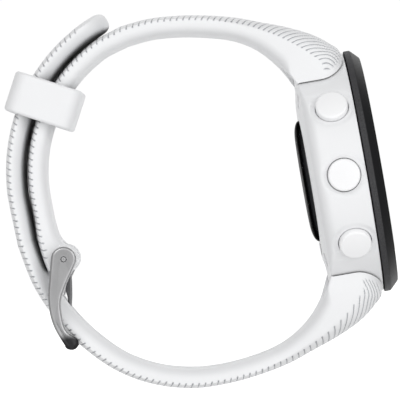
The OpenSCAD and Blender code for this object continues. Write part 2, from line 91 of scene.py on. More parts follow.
# Marks on the display: heights, then radius, lengths and half width of the minute marks, then digits
MARK_LEVELS = (10.07, 10.12)
MARK_R = 14.6
MARK_LONG = 1.3
MARK_SHORT = 0.6
MARK_HALF = 0.11
DIGIT_HEIGHT = 8.4
DIGIT_WIDTH = 3.7
DIGIT_LINE = 0.85
DIGITS = ["bc", "abcdef", "abcdef", "abcdfg"]
DIGIT_PLACES = [-8.3, -3.5, 3.2, 8.4]
# Buttons: their height and angles, the dish round each, and radii and distances from the case's axis
BUTTON_LEVEL = 5.35
BUTTONS = {"light": 145.5, "up": 180.0, "down": 214.5, "start": 34.5, "back": -34.5}
DISH_PLANE = CASE_R - 0.35
DISH_R = 3.5
DISH_BLEND = 0.25
DISH_FROM_R = 18
CAP_R = 2.6
CAP_GAP = 0.11
CAP_MOUTH = 0.07
CAP_TOP = CASE_R + 0.8
CAP_DOME = 0.14
CAP_EDGE = 0.42
CAP_SEAT = 18.6
POCKET_FLOOR = 18.1
STEM_R = 1.0
CLIP_GROOVE = (16.58, 16.92)
CLIP_DEPTH = 0.3
STEM_END = 15.3
# Stepped hole under the pocket of a button's cap, as radii and distances from the case's axis
BUTTON_BORE = [(2.3, 15), (2.3, 16.95), (1.85, 16.95), (1.85, 17.75), (1.04, 17.75), (1.04, POCKET_FLOOR)]
SCREW_RING_R = 14.9
SCREW_HEAD_R = 1.15
SCREW_R = 0.65
SCREW_ANGLES = (60, 120, 240, 300)
PORT_Y = -11.25
PORT_SIZE = (7.64, 1.94)

# Strap, in millimetres: a row is inner x, inner z, outer x, outer z, half width, crown width, crown depth
STRAP_HALF = 9.5
FLARE_HALF = 12.0
INNER_T = 3.1
OUTER_T = 3.2
LAYER_GAP = 0.3
ARC = (2.0, 5.0)
INNER_R = 22.7
OUTER_R = INNER_R + INNER_T + LAYER_GAP
CROWN_Y = 8.0
CROWN_Z = 0.8
# Rounding of the inner edges, as width, height and how straight it is: at the seam, along the
# strap and on the loose end, with the distances over which one turns into the next
EDGE_SEAM = (0.25, 0.25, 1.0)
EDGE_PLAIN = (2.2, 1.8, 1.0)
EDGE_LOOSE = (3.6, 2.45, 1.2)
EDGE_GROW = (5.5, 9.5)
LOOSE_RANGE = (52, 62)
# Loose end, by its angle on the arc, and the length and thinness of its nose
TIP_START = 118.0
TIP_ANGLE = 108.2
NOSE = 1.5
NOSE_THIN = 0.75
NOSE_LIFT = 0.45
HOLE_L = 5.5
HOLE_W = 2.7
HOLE_PITCH = 7.0
HOLE_LIP = 0.35
# Holes are counted from the one that holds the tongue
HOLES = range(-5, 7)
TONGUE_HOLE = (-21.1, -15.3)
# Strap ends: gap to the case wall, inner radius and gap of the ledge behind the case, then the spring
# bar's x and z and the room for it, and the lugs of the case with the room for them
SEAM = 0.2
SEAM_LEDGE = 19.0
LEDGE_GAP = 0.04
BAR = (24.2, 20.9)
BAR_HALF = 7.4
BAR_ROOM_R = 0.8
LUG_Y = 8.2
LUG_HALF = 0.8
LUG_R = 1.6
LUG_GAP = 0.1
LUG_FROM = 18.2
LUG_ROOM_FROM = 14.5
# Buckle pin's x and z, and the barrel of the strap round it
PIN = (-19.9, -5.6)
BARREL_R = 2.3
BARREL_EDGE = 0.5
PIN_ROOM_R = 0.6
TONGUE_SLOT = (2.9, 1.2)
PLAIN = [STRAP_HALF, CROWN_Y, CROWN_Z]
UPPER_KEYS = [
    [22.9, 13.6, 29.6, 13.6, FLARE_HALF, 4.8, 4.2],
    [21.55, 15.8, 29.5, 19.2, FLARE_HALF, 4.8, 4.2],
    [20.75, 17.3, 27.9, 21.25, FLARE_HALF, 4.8, 4],
    [19.6, 19.1, 25.3, 23.2, FLARE_HALF - 0.3, 4.8, 3.4],
    [17.6, 21.5, 21.4, 25.1, FLARE_HALF - 0.9, 4.6, 2.4],
    [15.3, 23.4, 17.7, 26.5, FLARE_HALF - 1.5, 4.4, 1.7],
    [12.3, 24.9, 13.75, 28, FLARE_HALF - 2, 5.5, 1.3],
    [8.3, 26, 9.2, 29.2, STRAP_HALF + 0.2, CROWN_Y, CROWN_Z],
    [4.2, 26.75, 4.6, 29.95, *PLAIN],
    [0, 27.05, -0.1, 30.25, *PLAIN],
    [-4, 26.65, -4.7, 29.8, *PLAIN],
]
UPPER_END = [
    [-20.65, 1.2, -23.75, 1.4, *PLAIN],
    [-20.3, -1.5, -23.7, -1.6, STRAP_HALF, 5, 0.6],
    [-19.5, -3.1, -23.35, -4.6, STRAP_HALF, 3, 0.6],
    [-18.4, -4, -22.78, -7.2, STRAP_HALF, 2, 0.6],
]
LOWER_KEYS = [
    [22.9, -13.6, 29.6, -13.6, FLARE_HALF, 4.8, 4.2],
    [21.55, -15.9, 29.5, -19.4, FLARE_HALF, 4.8, 4.2],
    [20.75, -17.6, 28, -21.4, FLARE_HALF, 4.8, 4],
    [19.6, -19.6, 25.3, -23.5, FLARE_HALF - 0.3, 4.8, 3.4],
    [17.6, -21.9, 21.3, -25.4, FLARE_HALF - 0.9, 4.6, 2.4],
    [15, -23.9, 17.1, -26.9, FLARE_HALF - 1.5, 4.4, 1.7],
    [11.6, -25.5, 12.85, -28.4, FLARE_HALF - 2, 5.5, 1.3],
    [7, -26.5, 7.6, -29.5, STRAP_HALF + 0.2, CROWN_Y, CROWN_Z],
    [1.9, -26.9, 2, -30, *PLAIN],
    [-3.1, -26.5, -3.5, -29.7, *PLAIN],
    [-8.2, -25, -9.55, -27.9, *PLAIN],
    [-12.9, -22.3, -14.85, -24.8, *PLAIN],
    [-16.9, -18.3, -19.45, -20.25, *PLAIN],
    [-20, -13.8, -22.8, -15.4, *PLAIN],
    [-22.5, -8.2, -25.6, -9.2, *PLAIN],
    [-23.9, -1.8, -27.05, -2.3, *PLAIN],
]

# Ribs: fine grooves over the strap's outer shoulders, which fan out towards the case. They fade
# out near the case's axis (RIB_CLEAR), near the strap's middle (RIB_SIDE) and past their ends (RIB_END)
ROW_STEP = 0.14
RIB_DEPTH = 0.2
RIB_HALF = 0.07
RIB_DOT = 0.06
RIB_SHORT = 1.05
RIB_FAN = (4.5, 18.5)
RIB_CLEAR = (CASE_R + 0.95, CASE_R + 1.25)
RIB_SIDE = (3.6, 5.2)
RIB_END = (-0.12, 0.05)
CASE_NEAR_X = 15
# Ribs of each half: which way they lean; how deep the longest reach; how straight they are, how far
# they travel and their pitch, each by distance from the case; how far from the ends of the half they
# start and stop; and the rounding of the loose part's inner edges
UPPER_RIBS = {"towards": 1, "long": 3.5, "lean": [(0, 0.05)],
              "travel": [(4.5, 2.4), (8, 2.16), (11.5, 1.61), (15, 1.07), (18.5, 0.83)],
              "pitch": [(16, 0.82), (20, 0.91), (26, 0.97), (36, 1.02)],
              "first": 3.1, "last": 1.2, "edge": EDGE_PLAIN}
LOWER_RIBS = {"towards": -1, "long": 3.2, "lean": [(0, 0.95), (4.5, 0.85), (8, 0.72), (18.5, 0.45)],
              "travel": [(0, 2.0), (4.5, 1.75), (8, 1.5), (10, 1.25), (11.5, 1), (15, 0.64), (18.5, 0.5)],
              "pitch": [(2, 1.1), (5, 1.3), (7, 1.7), (10, 1.45), (14, 1.2), (19, 1.02)],
              "first": -2, "last": 5.5, "edge": EDGE_LOOSE}

# Keeper loop: its angle on the arc and lean from it, its wall, half length and roundings, the room
# round the strap's layers, and how far it sits off the arc and along it
KEEPER_ANGLE = 144.5
KEEPER_LEAN = 7.7
KEEPER_WALL = 1.4
KEEPER_HALF = 3.3
KEEPER_EDGE = 0.55
KEEPER_CORNER = 1.7
KEEPER_ROOM = (1.0, 0.4)
KEEPER_SHIFT = (-0.45, -0.1)

# Buckle: outline of an arm as x and z down its left side and up its right, then crossbar and foot
ARM_LEFT = [(-21.9, -5.2), (-22.65, -8.1), (-23.35, -11), (-23.55, -13.6), (-23.2, -16.2), (-22.2, -18.7)]
ARM_RIGHT = [(-20.5, -18.15), (-21.35, -17), (-21.7, -15.2), (-21.5, -12.3), (-20.35, -9.9), (-18.6, -7.2)]
ARM_HEAD_R = 2.03
CROSSBAR = (-21.35, -19.25)
CROSSBAR_R = 0.75
LOBE = (-20.95, -19)
LOBE_R = 1.15
ARM_GAP = STRAP_HALF + 0.6
ARM_T = 1.8
ARM_EDGE = 0.48
# The arms bend inwards below this z, on a curve of this length, by this share of it
ARM_BEND = (-16.0, 4.35, 0.6)
# Hollow in the crossbar for the tongue's tip: radius round the pin, and half width
TONGUE_REST = (12.92, 1.25)
PIN_HEAD = 0.42
PIN_R = 0.55
BORE_R = 0.58
# Tongue: its line in x and z, half width, thickness outside and inside the line, edge rounding, and
# its swelling as share added, z and reach
TONGUE_LINE = [(-19.7, -6.8), (-19.75, -8.6), (-19.95, -10.2), (-20.25, -12), (-20.75, -14),
               (-21.25, -16), (-21.6, -18.3)]
TONGUE_HALF = 0.95
TONGUE_OUT = 0.35
TONGUE_IN = 0.3
TONGUE_EDGE = 0.25
TONGUE_SWELL = (1.4, -10.6, 1.1)
TONGUE_EYE_R = 1.5

# Colours, as linear red, green and blue
SILICONE_LOW = (0.77, 0.775, 0.785)
SILICONE_HIGH = (0.80, 0.805, 0.815)
# Painted shade laid along the rib grooves, on top of their real depth
GROOVE_SHADE = (0.4, 0.41, 0.43)
# Painted shade in the seam between the strap ends and the case; the gap itself is real
SEAM_SHADE = (0.07, 0.07, 0.075)
# The painted shade on the silicone in the gap to the case fades in between these X
SEAM_SHADE_FROM_X = (21.9, 22.1)
# Painted shade darkens the silicone where a crevice closed within this reach leaves this share of the sky
CREVICE_REACH = 2.5
CREVICE = (0.1, 0.55)
CREVICE_SHADE = (0.12, 0.12, 0.125)
POLYMER_LOW = (0.77, 0.775, 0.785)
POLYMER_HIGH = (0.79, 0.795, 0.805)
# Painted light: the caps are the case's white polymer, coloured paler to look brighter
LIT_CAP_LOW = (0.86, 0.862, 0.87)
LIT_CAP_HIGH = (0.88, 0.882, 0.89)
FLANK_LOW = (0.032, 0.032, 0.034)
FLANK_HIGH = (0.07, 0.07, 0.073)
BEZEL_LOW = (0.008, 0.008, 0.009)
BEZEL_HIGH = (0.014, 0.014, 0.015)
# A painted dark reflection darkens the buckle arms below the first z and leaves them plain above the second
FOOT = (-18.5, -17.1)
FOOT_DARK_REFLECTION = (0.045, 0.045, 0.047)
# Painted shade: the tongue is the buckle's steel, coloured darker for the shade it sits in
SHADED_TONGUE_LOW = (0.16, 0.16, 0.165)
SHADED_TONGUE_HIGH = (0.22, 0.22, 0.225)
METAL_LOW = (0.38, 0.38, 0.385)
METAL_HIGH = (0.46, 0.46, 0.465)

# Light: the sky's radiance, a ring in it round each side of the watch, which is weaker towards -X,
# and a white band behind the watch; ranges are of a direction's own components
SKY_BELOW = 0.6
SKY_ABOVE = 0.45
SKY_BLEND = (-0.8, 0.8)
RING_OUTER = (0.5, 0.75)
RING_INNER = (0.9, 0.98)
RING_LEVEL = 1.1
RING_SIDE = (-0.8, -0.25)
RING_LEFT = 0.25
HORIZON = (0.07, 0.13)
HORIZON_LEVEL = 1.02
HORIZON_SIDE = (0.85, 0.95)
# Softboxes: name, place, size and power
SOFTBOXES = [
    ("key", Vector((-0.35, -0.7, 0.6)), 0.4, 1.3),
    ("side", Vector((0.8, -0.6, 0.25)), 0.3, 1.2),
]
# Floor, in metres
FLOOR_Z = -0.045
FLOOR_HALF = 2.0
FLOOR_LOW = (0.89, 0.89, 0.89)
FLOOR_HIGH = (0.91, 0.91, 0.91)
FLOOR_GLOW = 0.6

# Camera: its place in metres, and its roll with the lean of the case
CAMERA_PLACE = Vector((0.0032, -0.83, 0.0))
CASE_LEAN = math.radians(9.87)
LENS_MM = 461.0


# ---------- mesh helpers ----------

def add_object(name, data):
    """Object of the scene that holds a mesh, a light or a camera."""
    obj = bpy.data.objects.new(name, data)
    bpy.context.scene.collection.objects.link(obj)
    return obj


def make_object(name, points, faces):
    """Mesh object from points in millimetres."""
    mesh = bpy.data.meshes.new(name)
    mesh.from_pydata((np.asarray(points, float) * MM).tolist(), [], [tuple(f) for f in faces])
    mesh.validate()
    obj = add_object(name, mesh)
    shade(obj)
    return obj


def shade(obj):
    """Smooth shading, in which edges sharper than the angle stay crisp."""
    obj.data.polygons.foreach_set("use_smooth", [True] * len(obj.data.polygons))
    obj.data.set_sharp_from_angle(angle=math.radians(SHARP_ANGLE))


def grid_faces(rows, columns, closed_rows=False):
    """Quads of a grid of points whose columns close into a loop."""
    last = rows if closed_rows else rows - 1
    i, j = np.meshgrid(np.arange(last), np.arange(columns), indexing="ij")
    a = (i * columns + j).ravel()
    b = (i * columns + (j + 1) % columns).ravel()
    i2 = (i + 1) % rows
    c = (i2 * columns + (j + 1) % columns).ravel()
    d = (i2 * columns + j).ravel()
    return np.stack([a, b, c, d], 1).tolist()


def tube_faces(rows, columns):
    """Faces of a grid of rings, with a cap on each end."""
    last = (rows - 1) * columns
    caps = [tuple(range(columns - 1, -1, -1)), tuple(range(last, last + columns))]
    return grid_faces(rows, columns) + caps


def direction(angle):
    """Cosine and sine of an angle in degrees."""
    return math.cos(math.radians(angle)), math.sin(math.radians(angle))


def quarter(steps):
    """Sines and cosines over a quarter turn."""
    return [(math.sin(t), math.cos(t)) for t in np.linspace(0, math.pi / 2, steps)]


def unit(vectors):
    """Each row scaled to a length of one."""
    return vectors / np.linalg.norm(vectors, axis=1, keepdims=True)


def rounded(corners, steps=5):
    """Outline through corners (x, y, radius), with an arc at each corner that has a radius."""
    out = []
    n = len(corners)
    for k in range(n):
        p = np.array(corners[k][:2], float)
        radius = corners[k][2] if len(corners[k]) > 2 else 0
        before = np.array(corners[k - 1][:2], float) - p
        after = np.array(corners[(k + 1) % n][:2], float) - p
        if not radius:
            out.append(p)
            continue
        before /= np.linalg.norm(before)
        after /= np.linalg.norm(after)
        half = math.acos(float(np.clip(before @ after, -1, 1))) / 2
        reach = radius / math.tan(half)
        middle = (before + after) / np.linalg.norm(before + after)
        centre = p + middle * radius / math.sin(half)
        u = p + before * reach - centre
        v = p + after * reach - centre
        sweep = math.pi - 2 * half
        for q in range(steps + 1):
            t = q / steps
            out.append(centre + (u * math.sin((1 - t) * sweep) + v * math.sin(t * sweep)) / math.sin(sweep))
    return np.array(out)


def in_case(local):
    """Case frame (3 o'clock, 12 o'clock, height above the back plane) to the part's frame."""
    local = np.asarray(local, float)
    return np.stack([BACK_X + local[:, 2], local[:, 0], local[:, 1]], 1)


def on_button(angle):
    """Function that takes a button's frame, with its height along the button's axis, to the part's."""
    c, s = direction(angle)

    def place(local):
        out = local[:, 2]
        side = local[:, 1]
        return in_case(np.stack([out * c - side * s, out * s + side * c, BUTTON_LEVEL - local[:, 0]], 1))
    return place


def along_y(x, z):
    """Function that takes a frame whose height runs along Y, about a line at x and z, to the part's."""
    def place(local):
        return np.stack([x + local[:, 0], local[:, 2], z - local[:, 1]], 1)
    return place


def lathe(name, profile, place=in_case, segments=96, closed=False):
    """Turned piece. The profile is (radius, height) pairs; open ones start and end on the axis."""
    profile = np.asarray(profile, float)
    turn = np.linspace(0, 2 * math.pi, segments, endpoint=False)
    ring = profile if closed else profile[1:-1]
    points = np.stack([
        np.outer(ring[:, 0], np.cos(turn)).ravel(),
        np.outer(ring[:, 0], np.sin(turn)).ravel(),
        np.repeat(ring[:, 1], segments)], 1)
    faces = grid_faces(len(ring), segments, closed)
    if not closed:
        first, last = len(points), len(points) + 1
        points = np.vstack([points, [0, 0, profile[0, 1]], [0, 0, profile[-1, 1]]])
        top = (len(ring) - 1) * segments
        for j in range(segments):
            k = (j + 1) % segments
            faces.append((first, k, j))
            faces.append((last, top + j, top + k))
    return make_object(name, place(points), faces)


def outward(obj):
    """Turns the faces so that the mesh's volume is positive."""
    mesh = obj.data
    points = np.empty(len(mesh.vertices) * 3)
    mesh.vertices.foreach_get("co", points)
    points = points.reshape(-1, 3)
    mesh.calc_loop_triangles()
    tri = np.empty(len(mesh.loop_triangles) * 3, int)
    mesh.loop_triangles.foreach_get("vertices", tri)
    a, b, c = (points[tri.reshape(-1, 3)[:, i]] for i in range(3))
    if np.einsum("ij,ij->i", a, np.cross(b, c)).sum() < 0:
        mesh.flip_normals()
    return obj


def combine(obj, others, operation):
    """Exact boolean with each of the other objects, which are then removed."""
    outward(obj)
    for other in others:
        outward(other)
        change = obj.modifiers.new("cut", "BOOLEAN")
        change.operation = operation
        change.solver = "MANIFOLD"
        change.object = other
    bpy.context.view_layer.update()
    evaluated = obj.evaluated_get(bpy.context.evaluated_depsgraph_get())
    mesh = bpy.data.meshes.new_from_object(evaluated)
    obj.modifiers.clear()
    old = obj.data
    obj.data = mesh
    mesh.name = obj.name
    bpy.data.meshes.remove(old)
    for other in others:
        bpy.data.objects.remove(other)
    shade(obj)


def finish_piece(obj, body, replaced, material):
    """Gives a piece its material and body, and hides the CAD nodes that it stands for."""
    obj.data.materials.clear()
    obj.data.materials.append(material)
    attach(obj, body)
    if replaced:
        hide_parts(*replaced)


# ---------- strap ----------

def catmull(keys, steps):
    """Smooth curve through the keys, with this many points from one to the next."""
    keys = np.asarray(keys, float)
    out = []
    for i in range(len(keys) - 1):
        a, b, c, d = keys[max(i - 1, 0)], keys[i], keys[i + 1], keys[min(i + 2, len(keys) - 1)]
        for t in np.arange(steps) / steps:
            out.append(0.5 * (2 * b + (c - a) * t + (2 * a - 5 * b + 4 * c - d) * t ** 2
                              + (3 * b - a - 3 * c + d) * t ** 3))
    out.append(keys[-1])
    return np.array(out)


def arc_row(angle, radius, thick, half, crown_y, crown_z):
    """Strap row at an angle on the arc."""
    c, s = direction(angle)
    return [ARC[0] + radius * c, ARC[1] + radius * s, ARC[0] + (radius + thick) * c,
            ARC[1] + (radius + thick) * s, half, crown_y, crown_z]


def upper_rows():
    """Rows of the half that holds the buckle, from the case round the arc to the pin."""
    arc = [arc_row(a, INNER_R, INNER_T, *PLAIN) for a in range(115, 181, 5)]
    middle = catmull([UPPER_KEYS[-1]] + arc + [UPPER_END[0]], 16)
    return np.vstack([catmull(UPPER_KEYS, 24)[:-1], middle[:-1], catmull(UPPER_END, 24)])


def lower_rows():
    """Rows of the half with the holes, from the case round the outside of the arc to its loose end."""
    arc = [arc_row(a, OUTER_R, OUTER_T, *PLAIN) for a in range(180, 119, -5)]
    tip = []
    for s, _ in quarter(80):
        half = STRAP_HALF * math.sqrt(1.0004 - s * s)
        left = math.radians(TIP_START - TIP_ANGLE) * (1 - s) * OUTER_R
        nose = max(0.0, 1 - left / NOSE)
        thick = OUTER_T * (1 - NOSE_THIN * (1 - math.sqrt(1.0004 - nose * nose)))
        angle = TIP_START + (TIP_ANGLE - TIP_START) * s
        radius = OUTER_R + NOSE_LIFT * (OUTER_T - thick)
        tip.append(arc_row(angle, radius, thick, half, min(CROWN_Y, 0.85 * half), CROWN_Z * thick / OUTER_T))
    middle = catmull([LOWER_KEYS[-1]] + arc + [tip[0]], 16)
    return np.vstack([catmull(LOWER_KEYS, 24)[:-1], middle[:-1], tip])


class Sweep:
    """Strap half as evenly spaced rows, with the distance along its middle line."""

    def __init__(self, rows):
        middle = (rows[:, 0:2] + rows[:, 2:4]) / 2
        run = np.concatenate([[0], np.cumsum(np.hypot(*np.diff(middle, axis=0).T))])
        keep = np.concatenate([[True], np.diff(run) > 1e-6])
        self.length = run[-1]
        count = int(self.length / ROW_STEP)
        self.s = np.linspace(0, self.length, count)
        self.rows = np.stack([np.interp(self.s, run[keep], rows[keep, k]) for k in range(7)], 1)

    def at(self, s, y, h):
        """Points at distances s, sideways y and height h above the inner face."""
        x, z, outer_x, outer_z = (np.interp(s, self.s, self.rows[:, k]) for k in range(4))
        wide, tall = outer_x - x, outer_z - z
        thick = np.hypot(wide, tall)
        return np.stack([x + wide / thick * h, y, z + tall / thick * h], 1)

    def run_at(self, x, z):
        """Distance along the half of its point nearest to x and z."""
        middle = (self.rows[:, 0:2] + self.rows[:, 2:4]) / 2
        return self.s[np.argmin(np.hypot(middle[:, 0] - x, middle[:, 1] - z))]


def section(half, thick, crown_y, crown_z, edge):
    """Half of a strap section from the middle of the crown to the middle of the inner face."""
    edge_y = min(edge[0], half / 2)
    edge_z = min(edge[1], (thick - crown_z) * 0.95)
    crown = [((half - crown_y) * t, thick) for t in (0, 0.25, 0.5, 0.75, 0.9)]
    shoulder = [(half - crown_y + crown_y * s, thick - crown_z + crown_z * c) for s, c in quarter(27)]
    side = [(half, edge_z + (thick - crown_z - edge_z) * t) for t in (0.75, 0.5, 0.25)]
    turn = [(max(c, 0) ** edge[2], s ** edge[2]) for s, c in quarter(11)]
    under = [(half - edge_y + edge_y * c, edge_z - edge_z * t) for c, t in turn]
    inner = [((half - edge_y) * t, 0.0) for t in (0.75, 0.5, 0.25, 0)]
    return np.array(crown + shoulder + side + under + inner)


def smoothstep(low, high, x):
    """Zero below low, one above high, and smooth in between."""
    t = np.clip((x - low) / (high - low), 0, 1)
    return t * t * (3 - 2 * t)


def rib_reach(s0, longest):
    """How deep into the side a rib that starts at s0 reaches."""
    return RIB_SHORT + (longest - RIB_SHORT) * (1 - smoothstep(*RIB_FAN, s0))


def rib_fields(s, depth, ribs):
    """Number of the rib through each point, that rib's start and how deep it reaches."""
    start = s.copy()
    # Each pass moves halfway to the start that would put the rib through the point
    for _ in range(20):
        reach = rib_reach(start, ribs["long"])
        share = np.clip(1 - depth / reach, 0, 1)
        lean = np.interp(start, *zip(*ribs["lean"]))
        travel = np.interp(start, *zip(*ribs["travel"]))
        bend = (1 - lean) * (1 - np.sqrt(1 - share ** 2)) + lean * share
        start = 0.5 * start + 0.5 * (s + ribs["towards"] * reach * travel * bend)
    table = np.arange(-15, s.max() + 15, 0.05)
    index = np.cumsum(0.05 / np.interp(table, *zip(*ribs["pitch"])))
    return np.interp(start, table, index), start, reach


def strap_grid(sweep, loose_edge):
    """Sideways places and heights of the section at each row of a strap half."""
    halves, heights = [], []
    grown = smoothstep(*EDGE_GROW, sweep.s)[:, None]
    edges = EDGE_SEAM + (np.array(EDGE_PLAIN) - EDGE_SEAM) * grown
    edges += (np.array(loose_edge) - EDGE_PLAIN) * smoothstep(*LOOSE_RANGE, sweep.s)[:, None]
    for edge, row in zip(edges, sweep.rows):
        thick = math.hypot(row[2] - row[0], row[3] - row[1])
        outline = section(row[4], thick, row[5], row[6], edge)
        halves.append(outline[:, 0])
        heights.append(outline[:, 1])
    return np.array(halves), np.array(heights)


def rib_mask(sweep, flat, y, depth, start, reach, ribs):
    """One where a point may lie in a rib's groove, fading to zero round the ribbed band."""
    axis_distance = np.hypot(flat[:, :, 1], flat[:, :, 2])
    near_case = flat[:, :, 0] > CASE_NEAR_X
    stop = sweep.length - ribs["last"]
    mask = 1 - smoothstep(reach + RIB_END[0], reach + RIB_END[1], depth)
    mask *= np.where(near_case, smoothstep(*RIB_CLEAR, axis_distance), 1)
    mask *= smoothstep(*RIB_SIDE, y) * smoothstep(ribs["first"] - 0.2, ribs["first"], start)
    return mask * (1 - smoothstep(stop, stop + 0.4, start))


def strap_half(name, rows, ribs):
    """Strap half with its ribs; the mesh carries what the silicone needs to shade their grooves."""
    sweep = Sweep(rows)
    y, h = strap_grid(sweep, ribs["edge"])
    n, m = y.shape
    s = np.repeat(sweep.s[:, None], m, 1)
    flat = sweep.at(s.ravel(), y.ravel(), h.ravel()).reshape(n, m, 3)
    depth = h[:, :1] - h

    index, start, reach = rib_fields(s, depth, ribs)
    steps = np.hypot(np.diff(y, axis=1), np.diff(h, axis=1))
    around = np.concatenate([np.zeros((n, 1)), np.cumsum(steps, axis=1)], 1)
    slope_s = np.gradient(index, sweep.s, axis=0)
    slope_a = np.gradient(index, axis=1) / np.maximum(np.gradient(around, axis=1), 1e-3)
    slope = np.hypot(slope_s, slope_a)
    away = np.abs(index - np.floor(index) - 0.5) / slope
    mask = rib_mask(sweep, flat, y, depth, start, reach, ribs)
    groove = np.exp(-(away / RIB_HALF) ** 2) * mask

    normal = np.cross(np.gradient(flat, axis=0), np.gradient(flat, axis=1))
    normal /= np.maximum(np.linalg.norm(normal, axis=2, keepdims=True), 1e-9)
    outwards = flat - flat.mean(axis=1, keepdims=True)
    normal *= np.sign((normal * outwards).sum(axis=2).sum())
    shaped = flat - normal * (RIB_DEPTH * groove)[:, :, None]

    mirror = shaped[:, -2:0:-1].copy()
    mirror[:, :, 1] *= -1
    ring = np.concatenate([shaped, mirror], 1)
    end = np.exp(-((depth - reach + 0.15) / 0.16) ** 2)
    extra = {"rib_index": index, "rib_gain": slope * (RIB_HALF + RIB_DOT * end), "rib_mask": mask}
    obj = make_object(name, ring.reshape(-1, 3), tube_faces(n, ring.shape[1]))
    for key, values in extra.items():
        values = np.concatenate([values, values[:, -2:0:-1]], 1)
        layer = obj.data.attributes.new(key, "FLOAT", "POINT")
        layer.data.foreach_set("value", values.ravel().astype(np.float32))
    return obj, sweep


def rod(name, radius, low, high, place, edge=0.0, segments=64):
    """Round bar between two heights, with rounded ends where edge isn't zero."""
    corners = [(0, low), (radius, low, edge), (radius, high, edge), (0, high)]
    profile = rounded(corners) if edge else [c[:2] for c in corners]
    return lathe(name, profile, place, segments)


def block(name, low, high):
    """Box between two corners, for a tool or a lug."""
    x, y, z = zip(low, high)
    points = [(x[i], y[j], z[k]) for i in (0, 1) for j in (0, 1) for k in (0, 1)]
    faces = [(0, 1, 3, 2), (4, 6, 7, 5), (0, 4, 5, 1), (2, 3, 7, 6), (0, 2, 6, 4), (1, 5, 7, 3)]
    return make_object(name, points, faces)


def lug_shapes(name, side, y, start, grow):
    """Block and round end of one lug, or of the room for it, from a distance out to the spring bar."""
    radius, half = LUG_R + grow, LUG_HALF + grow
    inner, outer = sorted((side * start, side * BAR[1]))
    shank = block(name, (BAR[0] - radius, y - half, inner), (BAR[0] + radius, y + half, outer))
    return shank, rod(name + "_end", radius, y - half, y + half, along_y(BAR[0], side * BAR[1]))


def end_cutters(side):
    """Tools that shape a strap end: the case wall, the two lugs and the spring bar."""
    low, wide = CASE_BACK - LEDGE_GAP, CASE_R + SEAM
    corners = [(0, -6), (SEAM_LEDGE, -6), (SEAM_LEDGE, low), (wide, low, LUG_ROUND), (wide, 14), (0, 14)]
    tools = [lathe("cut_case", rounded(corners), segments=256)]
    for y in (-LUG_Y, LUG_Y):
        tools += lug_shapes("cut_lug", side, y, LUG_ROOM_FROM, LUG_GAP)
    tools.append(rod("cut_bar", BAR_ROOM_R, -BAR_HALF, BAR_HALF, along_y(BAR[0], side * BAR[1])))
    return tools


def hole_cutter(sweep, s):
    """Slot through the strap whose mouths open with a soft lip on both faces."""
    lip = HOLE_LIP
    thick = float(np.interp(s, sweep.s, np.hypot(sweep.rows[:, 2] - sweep.rows[:, 0],
                                                 sweep.rows[:, 3] - sweep.rows[:, 1])))
    levels = [(lip + 0.02, -0.6)] + [(lip - lip * sine, lip * (1 - cosine)) for sine, cosine in quarter(7)]
    levels += [(offset, thick - height) for offset, height in reversed(levels)]
    rings = []
    for offset, height in levels:
        radius = HOLE_W / 2 + offset
        turn = np.linspace(0, 2 * math.pi, 48, endpoint=False) + math.pi / 48
        run = s + radius * np.cos(turn) + np.sign(np.cos(turn)) * (HOLE_L - HOLE_W) / 2
        rings.append(sweep.at(run, radius * np.sin(turn), np.full(48, height)))
    return make_object("cut_hole", np.vstack(rings), tube_faces(len(rings), 48))


def straps(material):
    """Both strap halves, with the barrel for the pin on one and the holes in the other."""
    upper, _ = strap_half("strap_upper_skin", upper_rows(), UPPER_RIBS)
    barrel = rod("barrel", BARREL_R, -STRAP_HALF, STRAP_HALF, along_y(*PIN), BARREL_EDGE)
    combine(upper, [barrel], "UNION")
    slot_r, slot_half = TONGUE_SLOT
    tools = end_cutters(1) + [rod("cut_pin", PIN_ROOM_R, -FLARE_HALF, FLARE_HALF, along_y(*PIN)),
                              rod("cut_tongue", slot_r, -slot_half, slot_half, along_y(*PIN))]
    combine(upper, tools, "DIFFERENCE")
    finish_piece(upper, "watch", ["strap_upper"], material)

    lower, sweep = strap_half("strap_lower_skin", lower_rows(), LOWER_RIBS)
    first = sweep.run_at(*TONGUE_HOLE)
    tools = end_cutters(-1) + [hole_cutter(sweep, first + i * HOLE_PITCH) for i in HOLES]
    combine(lower, tools, "DIFFERENCE")
    finish_piece(lower, "watch", ["strap_lower"], material)


# ---------- case, bezel and lens ----------

def sharpen_back(points):
    """Makes the case's back edge crisp where the strap halves meet it."""
    radius = np.hypot(points[:, 1], points[:, 2])
    centre = BACK_X + CASE_BACK + BACK_ROUND
    arc = (points[:, 0] < centre) & (radius > CASE_R - BACK_ROUND - 0.01)
    cosine = (radius - CASE_R + BACK_ROUND) / BACK_ROUND
    sine = (centre - points[:, 0]) / BACK_ROUND
    rounding = BACK_ROUND + (LUG_ROUND - BACK_ROUND) * smoothstep(*LUG_RANGE, np.abs(points[:, 2]))
    wanted = CASE_R - rounding * (1 - cosine)
    for axis in (1, 2):
        points[arc, axis] *= (wanted / radius)[arc]
    points[arc, 0] = (BACK_X + CASE_BACK + rounding * (1 - sine))[arc]


def sink_dish(points, angle):
    """Flattens the case wall round a button."""
    c, s = direction(angle)
    out = points[:, 1] * c + points[:, 2] * s
    side = -points[:, 1] * s + points[:, 2] * c
    distance = np.hypot(side, points[:, 0] - BACK_X - BUTTON_LEVEL)
    sunk = np.where(out > CASE_R - 3, np.maximum(out - DISH_PLANE, 0), 0)
    sunk *= 1 - smoothstep(DISH_R - DISH_BLEND, DISH_R + DISH_BLEND, distance)
    sunk *= np.hypot(points[:, 1], points[:, 2]) > DISH_FROM_R
    points[:, 1] -= c * sunk
    points[:, 2] -= s * sunk


